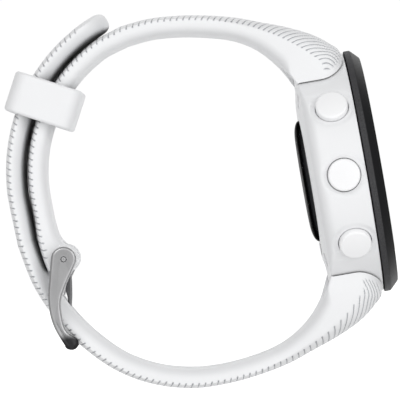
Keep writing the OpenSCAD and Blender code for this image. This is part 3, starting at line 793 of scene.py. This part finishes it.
def button_hole(angle):
    """Tool for a button's stepped hole, with a rounded mouth."""
    hole = CAP_R + CAP_GAP
    mouth = [(hole + CAP_MOUTH * (1 - c), DISH_PLANE - CAP_MOUTH + CAP_MOUTH * s) for s, c in quarter(7)]
    end = CAP_TOP + 0.7
    profile = [(0, BUTTON_BORE[0][1])] + BUTTON_BORE + [(hole, POCKET_FLOOR)]
    profile += mouth + [(hole + CAP_MOUTH, end), (0, end)]
    return lathe("cut_button", profile, on_button(angle), 96)


def case_shell(material):
    """Case ring with a soft dish round each button; the holes are cut with a rounded mouth."""
    rim, seat_r = CASE_TOP - RIM_DEPTH, COVER_R + COVER_GAP
    corners = [(seat_r, CASE_BACK, 0.1), (CASE_R, CASE_BACK, BACK_ROUND), (CASE_R, CASE_TOP, 0.12),
               (RIM_R, CASE_TOP), (RIM_R, rim), (CAVITY_R, rim), (CAVITY_R, CAVITY_FLOOR),
               (OPENING_R, CAVITY_FLOOR), (OPENING_R, COVER_SEAT), (seat_r, COVER_SEAT)]
    profile = rounded(corners, 14)
    wall = np.argmax(np.linalg.norm(np.diff(profile, axis=0), axis=1) * (profile[:-1, 0] > CASE_R - 0.01))
    low, high = profile[wall], profile[wall + 1]
    fill = [low + (high - low) * t for t in np.linspace(0, 1, 24)[1:-1]]
    profile = np.vstack([profile[:wall + 1], fill, profile[wall + 1:]])
    obj = lathe("case_shell", profile, segments=480, closed=True)
    points = np.array([v.co for v in obj.data.vertices]) / MM
    sharpen_back(points)
    for angle in BUTTONS.values():
        sink_dish(points, angle)
    obj.data.vertices.foreach_set("co", (points * MM).ravel())
    tools = [button_hole(angle) for angle in BUTTONS.values()]
    for angle in SCREW_ANGLES:
        tools.append(rod("cut_screw", SCREW_R - 0.03, 0, 3.6, at_screw(angle), segments=24))
    combine(obj, tools, "DIFFERENCE")
    lugs = []
    for side in (-1, 1):
        for y in (-LUG_Y, LUG_Y):
            lug, end = lug_shapes("lug", side, y, LUG_FROM, 0)
            combine(lug, [end], "UNION")
            lugs.append(lug)
    combine(obj, lugs, "UNION")
    finish_piece(obj, "watch", ["case_body"], material)


def at_screw(angle):
    """Function that takes a back screw's frame to the part's."""
    c, s = direction(angle)

    def place(local):
        return in_case(local + np.array([SCREW_RING_R * c, SCREW_RING_R * s, 0]))
    return place


def front(frame_material, glass):
    """Bezel ring and the glass in it."""
    inset = BEZEL_R - BEZEL_CHAMFER
    seat = LENS_BASE - 0.15
    corners = [(BEZEL_INNER_R, BEZEL_FOOT), (BEZEL_SKIRT_R, BEZEL_FOOT), (BEZEL_SKIRT_R, BEZEL_BASE),
               (BEZEL_R, BEZEL_BASE, 0.12), (BEZEL_R, FRONT - BEZEL_CHAMFER, 0.3), (inset, FRONT, 0.25),
               (LENS_R + 0.1, FRONT, 0.08), (LENS_R + 0.1, seat), (BEZEL_INNER_R, seat)]
    bezel = lathe("bezel_ring", rounded(corners, 6), segments=256, closed=True)
    finish_piece(bezel, "watch", ["bezel"], frame_material)
    corners = [(0, LENS_BASE), (LENS_R, LENS_BASE, 0.05), (LENS_R, LENS_TOP, 0.2), (0, LENS_TOP)]
    lens = lathe("lens_glass", rounded(corners, 5), segments=192)
    finish_piece(lens, "watch", ["lens"], glass)


def button_cap(key, angle, material):
    """Domed cap on a stem with the groove for its clip."""
    flat = CAP_R - CAP_EDGE
    low, high = CLIP_GROOVE
    crown = [(r, CAP_TOP - CAP_DOME * (r / flat) ** 2) for r in np.linspace(flat, 0, 9)]
    base = CAP_TOP - CAP_DOME - CAP_EDGE
    shoulder = [(flat + CAP_EDGE * c, base + CAP_EDGE * s) for s, c in quarter(9)[:-1]]
    profile = [(0, STEM_END), (STEM_R - 0.1, STEM_END), (STEM_R, STEM_END + 0.1), (STEM_R, low),
               (STEM_R - CLIP_DEPTH, low), (STEM_R - CLIP_DEPTH, high), (STEM_R, high), (STEM_R, CAP_SEAT),
               (CAP_R - 0.1, CAP_SEAT), (CAP_R, CAP_SEAT + 0.1)] + shoulder + crown
    obj = lathe("cap_" + key, profile, on_button(angle), 128)
    finish_piece(obj, key + "_button", ["button_" + key], material)


def display_marks(material):
    """Seven-segment time and a ring of minute marks, just over the display panel."""
    outlines = []
    for minute in range(60):
        turn = math.radians(6 * minute)
        inner = MARK_R - (MARK_LONG if minute % 5 == 0 else MARK_SHORT)
        half = MARK_HALF * (2 if minute % 5 == 0 else 1)
        corners = [(-half, inner), (half, inner), (half, MARK_R), (-half, MARK_R)]
        outlines.append([(x * math.cos(turn) - y * math.sin(turn), x * math.sin(turn) + y * math.cos(turn))
                         for x, y in corners])
    high, wide, half = DIGIT_HEIGHT / 4, DIGIT_WIDTH / 2, DIGIT_LINE / 2
    places = {"a": (0, 2 * high, 0), "b": (wide, high, 1), "c": (wide, -high, 1), "d": (0, -2 * high, 0),
              "e": (-wide, -high, 1), "f": (-wide, high, 1), "g": (0, 0, 0)}
    for lit, middle in zip(DIGITS, DIGIT_PLACES):
        for x, y, upright in (places[key] for key in lit):
            end = (high if upright else wide) - 0.08
            corners = [(-end, 0), (half - end, half), (end - half, half), (end, 0), (end - half, -half),
                       (half - end, -half)]
            if upright:
                corners = [(v, u) for u, v in corners]
            outlines.append([(middle + x + u, y + v) for u, v in corners])
    for y in (-high, high):
        outlines.append([(half * math.cos(t), y + half * math.sin(t))
                         for t in np.linspace(0, 2 * math.pi, 12, endpoint=False)])
    points, faces = [], []
    for outline in outlines:
        first, n = len(points), len(outline)
        points += [(x, y, z) for z in MARK_LEVELS for x, y in outline]
        faces += [[first + k for k in face] for face in tube_faces(2, n)]
    marks = make_object("display_marks", in_case(points), faces)
    finish_piece(marks, "watch", [], material)


# ---------- back ----------

def back(cover_material, glass):
    """Back cover with its screw holes and port, and the sensor's domed window."""
    corners = [(0, COVER_LEVEL), (COVER_FLAT, COVER_LEVEL), (COVER_R, CASE_BACK, 0.1), (COVER_R, COVER_TOP),
               (0, COVER_TOP)]
    cover = lathe("rear_cover", rounded(corners, 5), segments=256)
    tools = [rod("cut_window", WINDOW_R + COVER_GAP, -1, 3, in_case, segments=192), port_cutter(-1, 3)]
    for angle in SCREW_ANGLES:
        tools.append(rod("cut_head", SCREW_HEAD_R, -1, 1.2, at_screw(angle), segments=48))
        tools.append(rod("cut_hole", SCREW_R, 0, 3, at_screw(angle), segments=32))
    combine(cover, tools, "DIFFERENCE")
    finish_piece(cover, "watch", ["back_cover"], cover_material)
    top = COVER_LEVEL - WINDOW_DEPTH
    dome = [(WINDOW_FLAT + WINDOW_ROUND * s, COVER_LEVEL - WINDOW_DEPTH * c) for s, c in quarter(20)]
    skirt = [(WINDOW_R, COVER_LEVEL), (WINDOW_R, COVER_TOP), (WINDOW_WALL_R, COVER_TOP),
             (WINDOW_WALL_R, WINDOW_INSIDE), (0, WINDOW_INSIDE)]
    profile = [(0, top), (3, top)] + dome + skirt
    window = lathe("sensor_lens", profile, segments=192)
    finish_piece(window, "watch", ["sensor_window"], glass)


def port_cutter(low, high):
    """Tool with round ends for the charging port, through a range of heights."""
    length, width = PORT_SIZE
    turn = np.linspace(-math.pi / 2, math.pi / 2, 24)
    side = (length - width) / 2
    outline = [(side + width / 2 * math.cos(t), width / 2 * math.sin(t)) for t in turn]
    outline += [(-x, -y) for x, y in outline]
    outline = np.array(outline)
    n = len(outline)
    rings = [np.column_stack([outline[:, 0], outline[:, 1] + PORT_Y, np.full(n, z)]) for z in (low, high)]
    return make_object("cut_port", in_case(np.vstack(rings)), tube_faces(2, n))


# ---------- keeper and buckle ----------

def keeper(material):
    """Soft loop: a rounded band swept round a rectangle with round corners."""
    layers = INNER_T + LAYER_GAP + OUTER_T
    half_x = layers / 2 + KEEPER_ROOM[0] + KEEPER_WALL / 2
    half_y = STRAP_HALF + KEEPER_ROOM[1] + KEEPER_WALL / 2
    signs = [(1, 1), (-1, 1), (-1, -1), (1, -1)]
    turns = rounded([(a * half_x, b * half_y, KEEPER_CORNER) for a, b in signs], 16)
    sides = []
    for start, stop in zip(turns, np.roll(turns, -1, 0)):
        count = max(2, int(np.linalg.norm(stop - start) / 0.5))
        sides.append(np.linspace(start, stop, count, endpoint=False))
    path = np.vstack(sides)
    tangent = unit(np.roll(path, -1, 0) - np.roll(path, 1, 0))
    normal = np.column_stack([tangent[:, 1], -tangent[:, 0]])
    normal *= np.sign((normal * path).sum())
    half, edge = KEEPER_WALL / 2, KEEPER_EDGE
    band = rounded([(half, -KEEPER_HALF, edge), (half, KEEPER_HALF, edge), (-half, KEEPER_HALF, edge * 0.9),
                    (-half, -KEEPER_HALF, edge * 0.9)], 8)
    points = (path[:, None, :] + normal[:, None, :] * band[None, :, :1]).reshape(-1, 2)
    along = np.tile(band[:, 1], len(path)) + KEEPER_SHIFT[1]
    c, s = direction(KEEPER_ANGLE + KEEPER_LEAN)
    (centre,) = arc_points(ARC, INNER_R + layers / 2 + KEEPER_SHIFT[0], KEEPER_ANGLE, KEEPER_ANGLE, 1)
    x = centre[0] + points[:, 0] * c - along * s
    z = centre[1] + points[:, 0] * s + along * c
    faces = grid_faces(len(path), len(band), True)
    obj = outward(make_object("keeper_band", np.column_stack([x, points[:, 1], z]), faces))
    finish_piece(obj, "keeper_loop", ["keeper"], material)


def arc_points(centre, radius, start, end, steps):
    """Points on an arc between two angles in degrees."""
    return [(centre[0] + radius * math.cos(math.radians(a)), centre[1] + radius * math.sin(math.radians(a)))
            for a in np.linspace(start, end, steps)]


def arm_outline():
    """Closed outline of a side arm, clockwise from the left of the pin."""
    keys = arc_points(PIN, ARM_HEAD_R, 160, -40, 9) + ARM_RIGHT[::-1][1:-1]
    keys += arc_points(LOBE, LOBE_R, 30, -170, 7) + ARM_LEFT[::-1][1:-1]
    keys = np.array(keys)
    n = len(keys)
    smooth = np.vstack([catmull(keys[[i - 1, i, (i + 1) % n, (i + 2) % n]], 8)[8:16] for i in range(n)])
    step = np.hypot(*(np.roll(smooth, -1, 0) - smooth).T)
    run = np.concatenate([[0], np.cumsum(step)])
    even = np.linspace(0, run[-1], 220, endpoint=False)
    closed = np.vstack([smooth, smooth[:1]])
    return np.stack([np.interp(even, run, closed[:, k]) for k in (0, 1)], 1)


def arm(name, low, high):
    """Side arm between two places along Y, with rounded edges, which bends inwards at its foot."""
    outline = arm_outline()
    tangent = unit(np.roll(outline, -1, 0) - np.roll(outline, 1, 0))
    inwards = np.column_stack([-tangent[:, 1], tangent[:, 0]])
    if np.cross(outline, np.roll(outline, -1, 0)).sum() < 0:
        inwards = -inwards
    n = len(outline)
    levels = [(ARM_EDGE * (1 - s), low + ARM_EDGE * (1 - c)) for s, c in quarter(5)]
    levels += [(inset, high + low - y) for inset, y in reversed(levels)]
    rings = []
    start, length, share = ARM_BEND
    past = np.clip((start - outline[:, 1]) / length, 0, 0.98)
    shift = length * (1 - np.sqrt(1 - past ** 2)) * share
    for inset, y in levels:
        flat = outline + inwards * inset
        outer = (abs(y) - ARM_GAP) / ARM_T
        rings.append(np.column_stack([flat[:, 0], y - math.copysign(1, y) * outer * shift, flat[:, 1]]))
    return outward(make_object(name, np.vstack(rings), tube_faces(len(rings), n)))


def buckle_frame(material):
    """Two arms joined by the crossbar, with bores for the pin and a rest for the tongue's tip."""
    end = ARM_GAP + ARM_T
    obj = arm("buckle_arms", ARM_GAP, end)
    bar = rod("crossbar", CROSSBAR_R, -ARM_GAP - 0.2, ARM_GAP + 0.2, along_y(*CROSSBAR))
    combine(obj, [arm("arm", -end, -ARM_GAP), bar], "UNION")
    rest_r, rest_half = TONGUE_REST
    rest = rod("cut_rest", rest_r, -rest_half, rest_half, along_y(*PIN), segments=256)
    combine(obj, [chamfered_bore(-1), chamfered_bore(1), rest], "DIFFERENCE")
    finish_piece(obj, "buckle", ["buckle_frame"], material)


def buckle_pin(material):
    """Round pin whose two ends are a little thicker, in the bores of the arms."""
    end = ARM_GAP + ARM_T
    half = [(0, end - 0.06), (0.2, end - 0.06), (0.3, end - 0.08), (PIN_HEAD - 0.08, end - 0.1),
            (PIN_HEAD, end - 0.2), (PIN_HEAD, end - 0.7), (PIN_R, end - 0.75)]
    profile = [(r, -y) for r, y in half] + half[::-1]
    finish_piece(lathe("pin_rod", profile, along_y(*PIN), 48), "buckle", ["buckle_pin"], material)


def buckle_tongue(material):
    """Bar from an eye round the pin, thinner at its tip and swollen where it leaves the strap."""
    line = catmull(TONGUE_LINE, 8)
    tangent = unit(np.gradient(line, axis=0))
    normal = np.column_stack([-tangent[:, 1], tangent[:, 0]])
    left = len(line) - 1 - np.arange(len(line))
    taper = np.minimum(1, 0.55 + 0.45 * np.sqrt(np.clip(left / 4, 0, 1)))
    bar = rounded([(TONGUE_OUT, -TONGUE_HALF, TONGUE_EDGE), (TONGUE_OUT, TONGUE_HALF, TONGUE_EDGE),
                   (-TONGUE_IN, TONGUE_HALF, TONGUE_EDGE), (-TONGUE_IN, -TONGUE_HALF, TONGUE_EDGE)], 4)
    gain, centre, reach = TONGUE_SWELL
    swell = 1 + gain * np.exp(-((line[:, 1] - centre) / reach) ** 2)
    rings = []
    for p, q, k, wide in zip(line, normal, taper, swell):
        flat = p + np.outer(bar[:, 0] * k * np.where(bar[:, 0] < 0, wide, 1), q)
        rings.append(np.column_stack([flat[:, 0], bar[:, 1] * k, flat[:, 1]]))
    tongue = make_object("tongue_bar", np.vstack(rings), tube_faces(len(rings), len(bar)))
    combine(tongue, [rod("eye", TONGUE_EYE_R, -TONGUE_HALF, TONGUE_HALF, along_y(*PIN), 0.15)], "UNION")
    combine(tongue, [rod("bore", BORE_R, -2, 2, along_y(*PIN))], "DIFFERENCE")
    finish_piece(tongue, "tongue", ["buckle_tongue"], material)


def chamfered_bore(side):
    """Hole for the pin through one arm, with a chamfered mouth."""
    near, far, seat = ARM_GAP - 1, ARM_GAP + ARM_T, PIN_HEAD + 0.03
    half = [(0, near), (BORE_R, near), (BORE_R, far - 0.6), (seat, far - 0.58), (seat, far - 0.08),
            (seat + 0.05, far + 0.01), (seat + 0.05, far + 1), (0, far + 1)]
    profile = [(radius, side * y) for radius, y in half]
    return lathe("cut_bore", profile, along_y(*PIN), 48)


# ---------- materials ----------

def new_material(name):
    """Material with its nodes and its shader."""
    mat = bpy.data.materials.new(name)
    mat.use_nodes = True
    return mat, mat.node_tree, mat.node_tree.nodes["Principled BSDF"]


def axes(tree, output="Object"):
    """X, Y and Z of a texture coordinate."""
    where = tree.nodes.new("ShaderNodeTexCoord")
    split = tree.nodes.new("ShaderNodeSeparateXYZ")
    tree.links.new(where.outputs[output], split.inputs["Vector"])
    return split.outputs


def math_node(tree, operation, *values):
    """Math node; each value is a number or a socket."""
    node = tree.nodes.new("ShaderNodeMath")
    node.operation = operation
    for socket, value in zip(node.inputs, values):
        if isinstance(value, bpy.types.NodeSocket):
            tree.links.new(value, socket)
        else:
            socket.default_value = value
    return node.outputs[0]


def noise(tree, size_mm, stretch=(1, 1, 1), detail=3.0):
    """Noise whose features are about size_mm across, stretched along an axis where stretch is under 1."""
    where = tree.nodes.new("ShaderNodeTexCoord")
    scale = tree.nodes.new("ShaderNodeMapping")
    scale.inputs["Scale"].default_value = stretch
    tree.links.new(where.outputs["Object"], scale.inputs["Vector"])
    node = tree.nodes.new("ShaderNodeTexNoise")
    node.inputs["Scale"].default_value = 1 / (size_mm * MM)
    node.inputs["Detail"].default_value = detail
    tree.links.new(scale.outputs["Vector"], node.inputs["Vector"])
    return node.outputs["Fac"]


def ramp(tree, value, low, high, start, end, kind="SMOOTHSTEP"):
    """Number that goes from start to end as the value goes from low to high."""
    node = tree.nodes.new("ShaderNodeMapRange")
    node.interpolation_type = kind
    for key, number in (("From Min", low), ("From Max", high), ("To Min", start), ("To Max", end)):
        node.inputs[key].default_value = number
    tree.links.new(value, node.inputs["Value"])
    return node.outputs["Result"]


def ramp_mm(tree, value, low, high, start, end):
    """The same, with low and high in millimetres."""
    return ramp(tree, value, low * MM, high * MM, start, end)


def between(tree, fac, low, high):
    """Number that runs from low to high as a noise runs over its middle range."""
    return ramp(tree, fac, 0.3, 0.7, low, high, "LINEAR")


def product(tree, first, *others):
    """Values multiplied together."""
    for other in others:
        first = math_node(tree, "MULTIPLY", first, other)
    return first


def mix(tree, fac, low, high):
    """Colour between two colours or sockets."""
    node = tree.nodes.new("ShaderNodeMix")
    node.data_type = "RGBA"
    tree.links.new(fac, node.inputs["Factor"])
    for socket, value in ((node.inputs[6], low), (node.inputs[7], high)):
        if isinstance(value, bpy.types.NodeSocket):
            tree.links.new(value, socket)
        else:
            socket.default_value = (*value, 1)
    return node.outputs[2]


def coat(tree, shader, colour, rough, grain, depth_mm):
    """Feeds a shader its colour, its roughness and a grain of this depth."""
    node = tree.nodes.new("ShaderNodeBump")
    node.inputs["Strength"].default_value = 1.0
    node.inputs["Distance"].default_value = depth_mm * MM
    tree.links.new(grain, node.inputs["Height"])
    tree.links.new(node.outputs["Normal"], shader.inputs["Normal"])
    tree.links.new(colour, shader.inputs["Base Color"])
    tree.links.new(rough, shader.inputs["Roughness"])


def moulded(name, low, high, rough, grain=0.12, depth=0.01, metallic=0.0, stretch=(1, 1, 1)):
    """Finish with a fine grain, a slow drift of colour and an uneven gloss."""
    mat, tree, shader = new_material(name)
    fine = noise(tree, grain, stretch)
    coat(tree, shader, mix(tree, noise(tree, 4.0), low, high), between(tree, fine, *rough), fine, depth)
    shader.inputs["Metallic"].default_value = metallic
    return mat


def attribute(tree, name):
    """Value that a mesh carries at each of its points."""
    node = tree.nodes.new("ShaderNodeAttribute")
    node.attribute_name = name
    return node.outputs["Fac"]


def silicone_skin():
    """Soft matt silicone, with painted shade in its grooves, in the gap to the case and in deep crevices."""
    mat, tree, shader = new_material("white_silicone")
    turn = math_node(tree, "FRACT", attribute(tree, "rib_index"))
    share = math_node(tree, "ABSOLUTE", math_node(tree, "SUBTRACT", turn, 0.5))
    gain = math_node(tree, "MAXIMUM", attribute(tree, "rib_gain"), 0.001)
    widths = math_node(tree, "DIVIDE", share, gain)
    groove = product(tree, ramp(tree, widths, 0.6, 1.5, 1.0, 0.0), attribute(tree, "rib_mask"))
    skin = mix(tree, noise(tree, 5.0), SILICONE_LOW, SILICONE_HIGH)
    place = axes(tree)
    across = math_node(tree, "MULTIPLY", place["Y"], place["Y"])
    from_axis = math_node(tree, "SQRT", math_node(tree, "MULTIPLY_ADD", place["Z"], place["Z"], across))
    # Painted shade in the real gap between the strap ends and the case wall
    wall = CASE_R + SEAM
    seam_shade = product(tree, ramp_mm(tree, from_axis, wall + 0.02, wall + 0.1, 1.0, 0.0),
                   ramp_mm(tree, from_axis, wall - 0.3, wall - 0.1, 0.0, 1.0),
                   ramp_mm(tree, place["X"], *SEAM_SHADE_FROM_X, 0.0, 1.0))
    skin = mix(tree, seam_shade, skin, SEAM_SHADE)
    # Painted shade: ambient occlusion darkens the colour in crevices
    crevice = tree.nodes.new("ShaderNodeAmbientOcclusion")
    crevice.samples = 8
    crevice.inputs["Distance"].default_value = CREVICE_REACH * MM
    skin = mix(tree, ramp(tree, crevice.outputs["AO"], *CREVICE, 1.0, 0.0), skin, CREVICE_SHADE)
    # Painted shade along the rib grooves
    skin = mix(tree, groove, skin, GROOVE_SHADE)
    fine = noise(tree, 0.09, detail=4.0)
    coat(tree, shader, skin, between(tree, fine, 0.5, 0.66), fine, 0.006)
    shader.inputs["Sheen Weight"].default_value = 0.08
    return mat


def bezel_finish():
    """Fibre-filled polymer: a matt flank with pale flecks, and a darker, smoother chamfer."""
    mat, tree, shader = new_material("bezel_polymer")
    step = BACK_X + FRONT - BEZEL_CHAMFER
    chamfer = ramp_mm(tree, axes(tree)["X"], step - 0.1, step + 0.1, 0.0, 1.0)
    fleck = noise(tree, 0.16, detail=5.0)
    flank = mix(tree, between(tree, fleck, 0.0, 1.0), FLANK_LOW, FLANK_HIGH)
    smooth = math_node(tree, "MULTIPLY", chamfer, 0.12)
    rough = math_node(tree, "SUBTRACT", between(tree, fleck, 0.5, 0.62), smooth)
    coat(tree, shader, mix(tree, chamfer, flank, BEZEL_LOW), rough, fleck, 0.01)
    shader.inputs["Specular IOR Level"].default_value = 0.1
    return mat


def frame_finish():
    """Brushed metal of the buckle frame, with a painted dark reflection on its outward faces towards the foot
    of its arms.
    """
    mat = moulded("buckle_metal", METAL_LOW, METAL_HIGH, *BRUSHED)
    tree = mat.node_tree
    shader = tree.nodes["Principled BSDF"]
    # Painted dark reflection on the arms' outward faces near their foot
    outer = ramp(tree, math_node(tree, "ABSOLUTE", axes(tree, "Normal")["Y"]), 0.15, 0.4, 0.0, 1.0)
    foot = product(tree, outer, ramp_mm(tree, axes(tree)["Z"], *FOOT, 1.0, 0.0))
    brushed = shader.inputs["Base Color"].links[0].from_socket
    tree.links.new(mix(tree, foot, brushed, FOOT_DARK_REFLECTION), shader.inputs["Base Color"])
    return mat


def clear(name, tint, rough=0.03):
    """Clear glass or plastic with a trace of smudge in its gloss."""
    mat, tree, shader = new_material(name)
    smudge = between(tree, noise(tree, 8.0, detail=1.0), rough, rough + 0.02)
    colour = mix(tree, noise(tree, 6.0), tint, tuple(0.97 * c for c in tint))
    tree.links.new(colour, shader.inputs["Base Color"])
    tree.links.new(smudge, shader.inputs["Roughness"])
    shader.inputs["Transmission Weight"].default_value = 1.0
    shader.inputs["IOR"].default_value = 1.5
    return mat


def board():
    """Solder mask over a grid of tracks, with plated pads here and there."""
    mat, tree, shader = new_material("circuit_board")
    where = tree.nodes.new("ShaderNodeTexCoord")
    cells = tree.nodes.new("ShaderNodeTexVoronoi")
    cells.distance = "CHEBYCHEV"
    cells.inputs["Scale"].default_value = 1 / (1.1 * MM)
    tree.links.new(where.outputs["Object"], cells.inputs["Vector"])
    track = math_node(tree, "LESS_THAN", cells.outputs["Distance"], 0.3)
    pad = math_node(tree, "LESS_THAN", cells.outputs["Distance"], 0.12)
    mask = mix(tree, track, (0.008, 0.05, 0.03), (0.015, 0.1, 0.05))
    colour = mix(tree, pad, mask, (0.75, 0.55, 0.25))
    coat(tree, shader, colour, between(tree, noise(tree, 0.3), 0.3, 0.45), track, 0.02)
    tree.links.new(pad, shader.inputs["Metallic"])
    return mat


def sensor_finish():
    """Dark, smooth and opaque, with a dimmed reflection at its edges."""
    mat = moulded("sensor_glass", (0.03, 0.03, 0.032), (0.036, 0.036, 0.039), (0.28, 0.34), 0.5, 0.0001, 1.0)
    mat.node_tree.nodes["Principled BSDF"].inputs["Specular Tint"].default_value = (0.1, 0.1, 0.1, 1)
    return mat


# Range of roughness, size and depth of the grain in millimetres, metallic, and stretch along the brushing
BRUSHED = ((0.3, 0.42), 0.05, 0.004, 1.0, (1, 1, 0.12))
# Plain finishes: darkest and lightest colour, then the same as in the line above
FINISHES = {
    "white_polymer": (POLYMER_LOW, POLYMER_HIGH, (0.34, 0.46), 0.07, 0.004),
    # Painted light: the case's polymer, paler so the caps look brighter; its lower roughness is their polish
    "lit_cap_polymer": (LIT_CAP_LOW, LIT_CAP_HIGH, (0.26, 0.36), 0.07, 0.002),
    "black_polymer": (BEZEL_LOW, BEZEL_HIGH, (0.38, 0.5), 0.08, 0.006),
    "seal_rubber": ((0.012, 0.012, 0.013), (0.03, 0.03, 0.032), (0.6, 0.75), 0.1, 0.01),
    "display": ((0.006, 0.007, 0.009), (0.012, 0.014, 0.017), (0.14, 0.18), 2.5, 0.0001),
    "display_ink": ((0.62, 0.64, 0.62), (0.72, 0.74, 0.72), (0.4, 0.55), 0.8, 0.0001),
    "flex_film": ((0.42, 0.17, 0.03), (0.52, 0.24, 0.05), (0.25, 0.4), 0.3, 0.004),
    "tinned_steel": ((0.6, 0.6, 0.6), (0.7, 0.7, 0.69), (0.25, 0.4), 0.2, 0.004, 1.0),
    "chip_epoxy": ((0.014, 0.014, 0.015), (0.025, 0.025, 0.027), (0.45, 0.6), 0.05, 0.006),
    "gold_plate": ((0.86, 0.6, 0.24), (0.95, 0.7, 0.32), (0.2, 0.32), 0.15, 0.002, 1.0),
    "steel": ((0.42, 0.42, 0.43), (0.52, 0.52, 0.53), (0.26, 0.36), 0.1, 0.003, 1.0),
    "battery_wrap": ((0.42, 0.45, 0.5), (0.52, 0.55, 0.6), (0.3, 0.45), 0.5, 0.02, 0.6),
    # Painted shade: the buckle's steel, darker for the shade round the tongue
    "shaded_tongue_metal": (SHADED_TONGUE_LOW, SHADED_TONGUE_HIGH, *BRUSHED),
}


def materials():
    """Finish of each slot of the record, and of the bezel, button caps, display marks and tongue."""
    made = {name: moulded(name, *row) for name, row in FINISHES.items()}
    made["white_silicone"] = silicone_skin()
    made["bezel"] = bezel_finish()
    made["lens_glass"] = clear("lens_glass", (0.98, 0.99, 1.0))
    made["led_lens"] = clear("led_lens", (0.35, 0.95, 0.5), 0.1)
    made["circuit_board"] = board()
    made["sensor_glass"] = sensor_finish()
    made["buckle_metal"] = frame_finish()
    return made


def dress_cad(finishes):
    """Gives each node that stays as CAD the finish of its slot."""
    for part in frame["record"]["subparts"]:
        obj = frame["nodes"][part["node"]]
        obj.data.materials.clear()
        obj.data.materials.append(finishes[part["material_slot"]])


# ---------- camera and light ----------

def camera():
    """Camera at the photo's place, with a roll that leans the case as in the photo."""
    data = bpy.data.cameras.new("camera")
    data.lens = LENS_MM
    data.sensor_width = 36
    data.clip_start = 0.05
    obj = add_object("camera", data)
    right = Vector((math.cos(CASE_LEAN), 0, -math.sin(CASE_LEAN)))
    up = Vector((math.sin(CASE_LEAN), 0, math.cos(CASE_LEAN)))
    back = right.cross(up)
    turn = Matrix((right, up, back)).transposed().to_4x4()
    obj.matrix_world = Matrix.Translation(CAMERA_PLACE) @ turn
    bpy.context.scene.camera = obj


def world():
    """Soft sky with a ring of light round each side, and a white band behind the watch."""
    sky = bpy.data.worlds.new("studio")
    sky.use_nodes = True
    tree = sky.node_tree
    way = axes(tree, "Generated")
    sideways = math_node(tree, "ABSOLUTE", way["Y"])
    level = math_node(tree, "ABSOLUTE", way["Z"])
    ring = product(tree, ramp(tree, sideways, *RING_OUTER, 0.0, RING_LEVEL),
                   ramp(tree, sideways, *RING_INNER, 1.0, 0.0),
                   ramp(tree, way["X"], *RING_SIDE, RING_LEFT, 1.0))
    soft = math_node(tree, "ADD", ramp(tree, way["Z"], *SKY_BLEND, SKY_BELOW, SKY_ABOVE), ring)
    band = product(tree, ramp(tree, level, *HORIZON, 1.0, 0.0), ramp(tree, way["Y"], *HORIZON_SIDE, 0.0, 1.0))
    missing = math_node(tree, "SUBTRACT", HORIZON_LEVEL, soft)
    total = math_node(tree, "MULTIPLY_ADD", missing, band, soft)
    tree.links.new(total, tree.nodes["Background"].inputs["Strength"])
    tree.nodes["Background"].inputs["Color"].default_value = (1, 1, 1, 1)
    bpy.context.scene.world = sky


def softbox(name, place, size, watts):
    """Area light that faces the watch."""
    data = bpy.data.lights.new(name, "AREA")
    data.size = size
    data.energy = watts
    obj = add_object(name, data)
    obj.matrix_world = Matrix.Translation(place) @ place.to_track_quat("Z", "Y").to_matrix().to_4x4()


def floor():
    """Pale light table that glows a little and casts no light on the watch."""
    half = FLOOR_HALF / MM
    corners = [(-half, -half), (half, -half), (half, half), (-half, half)]
    obj = make_object("floor", [(x, y, FLOOR_Z / MM) for x, y in corners], [(0, 1, 2, 3)])
    mat = moulded("light_table", FLOOR_LOW, FLOOR_HIGH, (0.7, 0.8), 2.0, 0.05)
    shader = mat.node_tree.nodes["Principled BSDF"]
    shader.inputs["Emission Color"].default_value = (1, 1, 1, 1)
    shader.inputs["Emission Strength"].default_value = FLOOR_GLOW
    obj.data.materials.append(mat)
    obj.visible_diffuse = False
    obj.visible_glossy = False


finishes = materials()
dress_cad(finishes)
straps(finishes["white_silicone"])
case_shell(finishes["white_polymer"])
front(finishes["bezel"], finishes["lens_glass"])
display_marks(finishes["display_ink"])
for key, angle in BUTTONS.items():
    button_cap(key, angle, finishes["lit_cap_polymer"])
back(finishes["white_polymer"], finishes["sensor_glass"])
keeper(finishes["white_silicone"])
buckle_frame(finishes["buckle_metal"])
buckle_pin(finishes["buckle_metal"])
buckle_tongue(finishes["shaded_tongue_metal"])
camera()
world()
for softbox_row in SOFTBOXES:
    softbox(*softbox_row)
floor()
bpy.context.scene.view_settings.view_transform = "Standard"
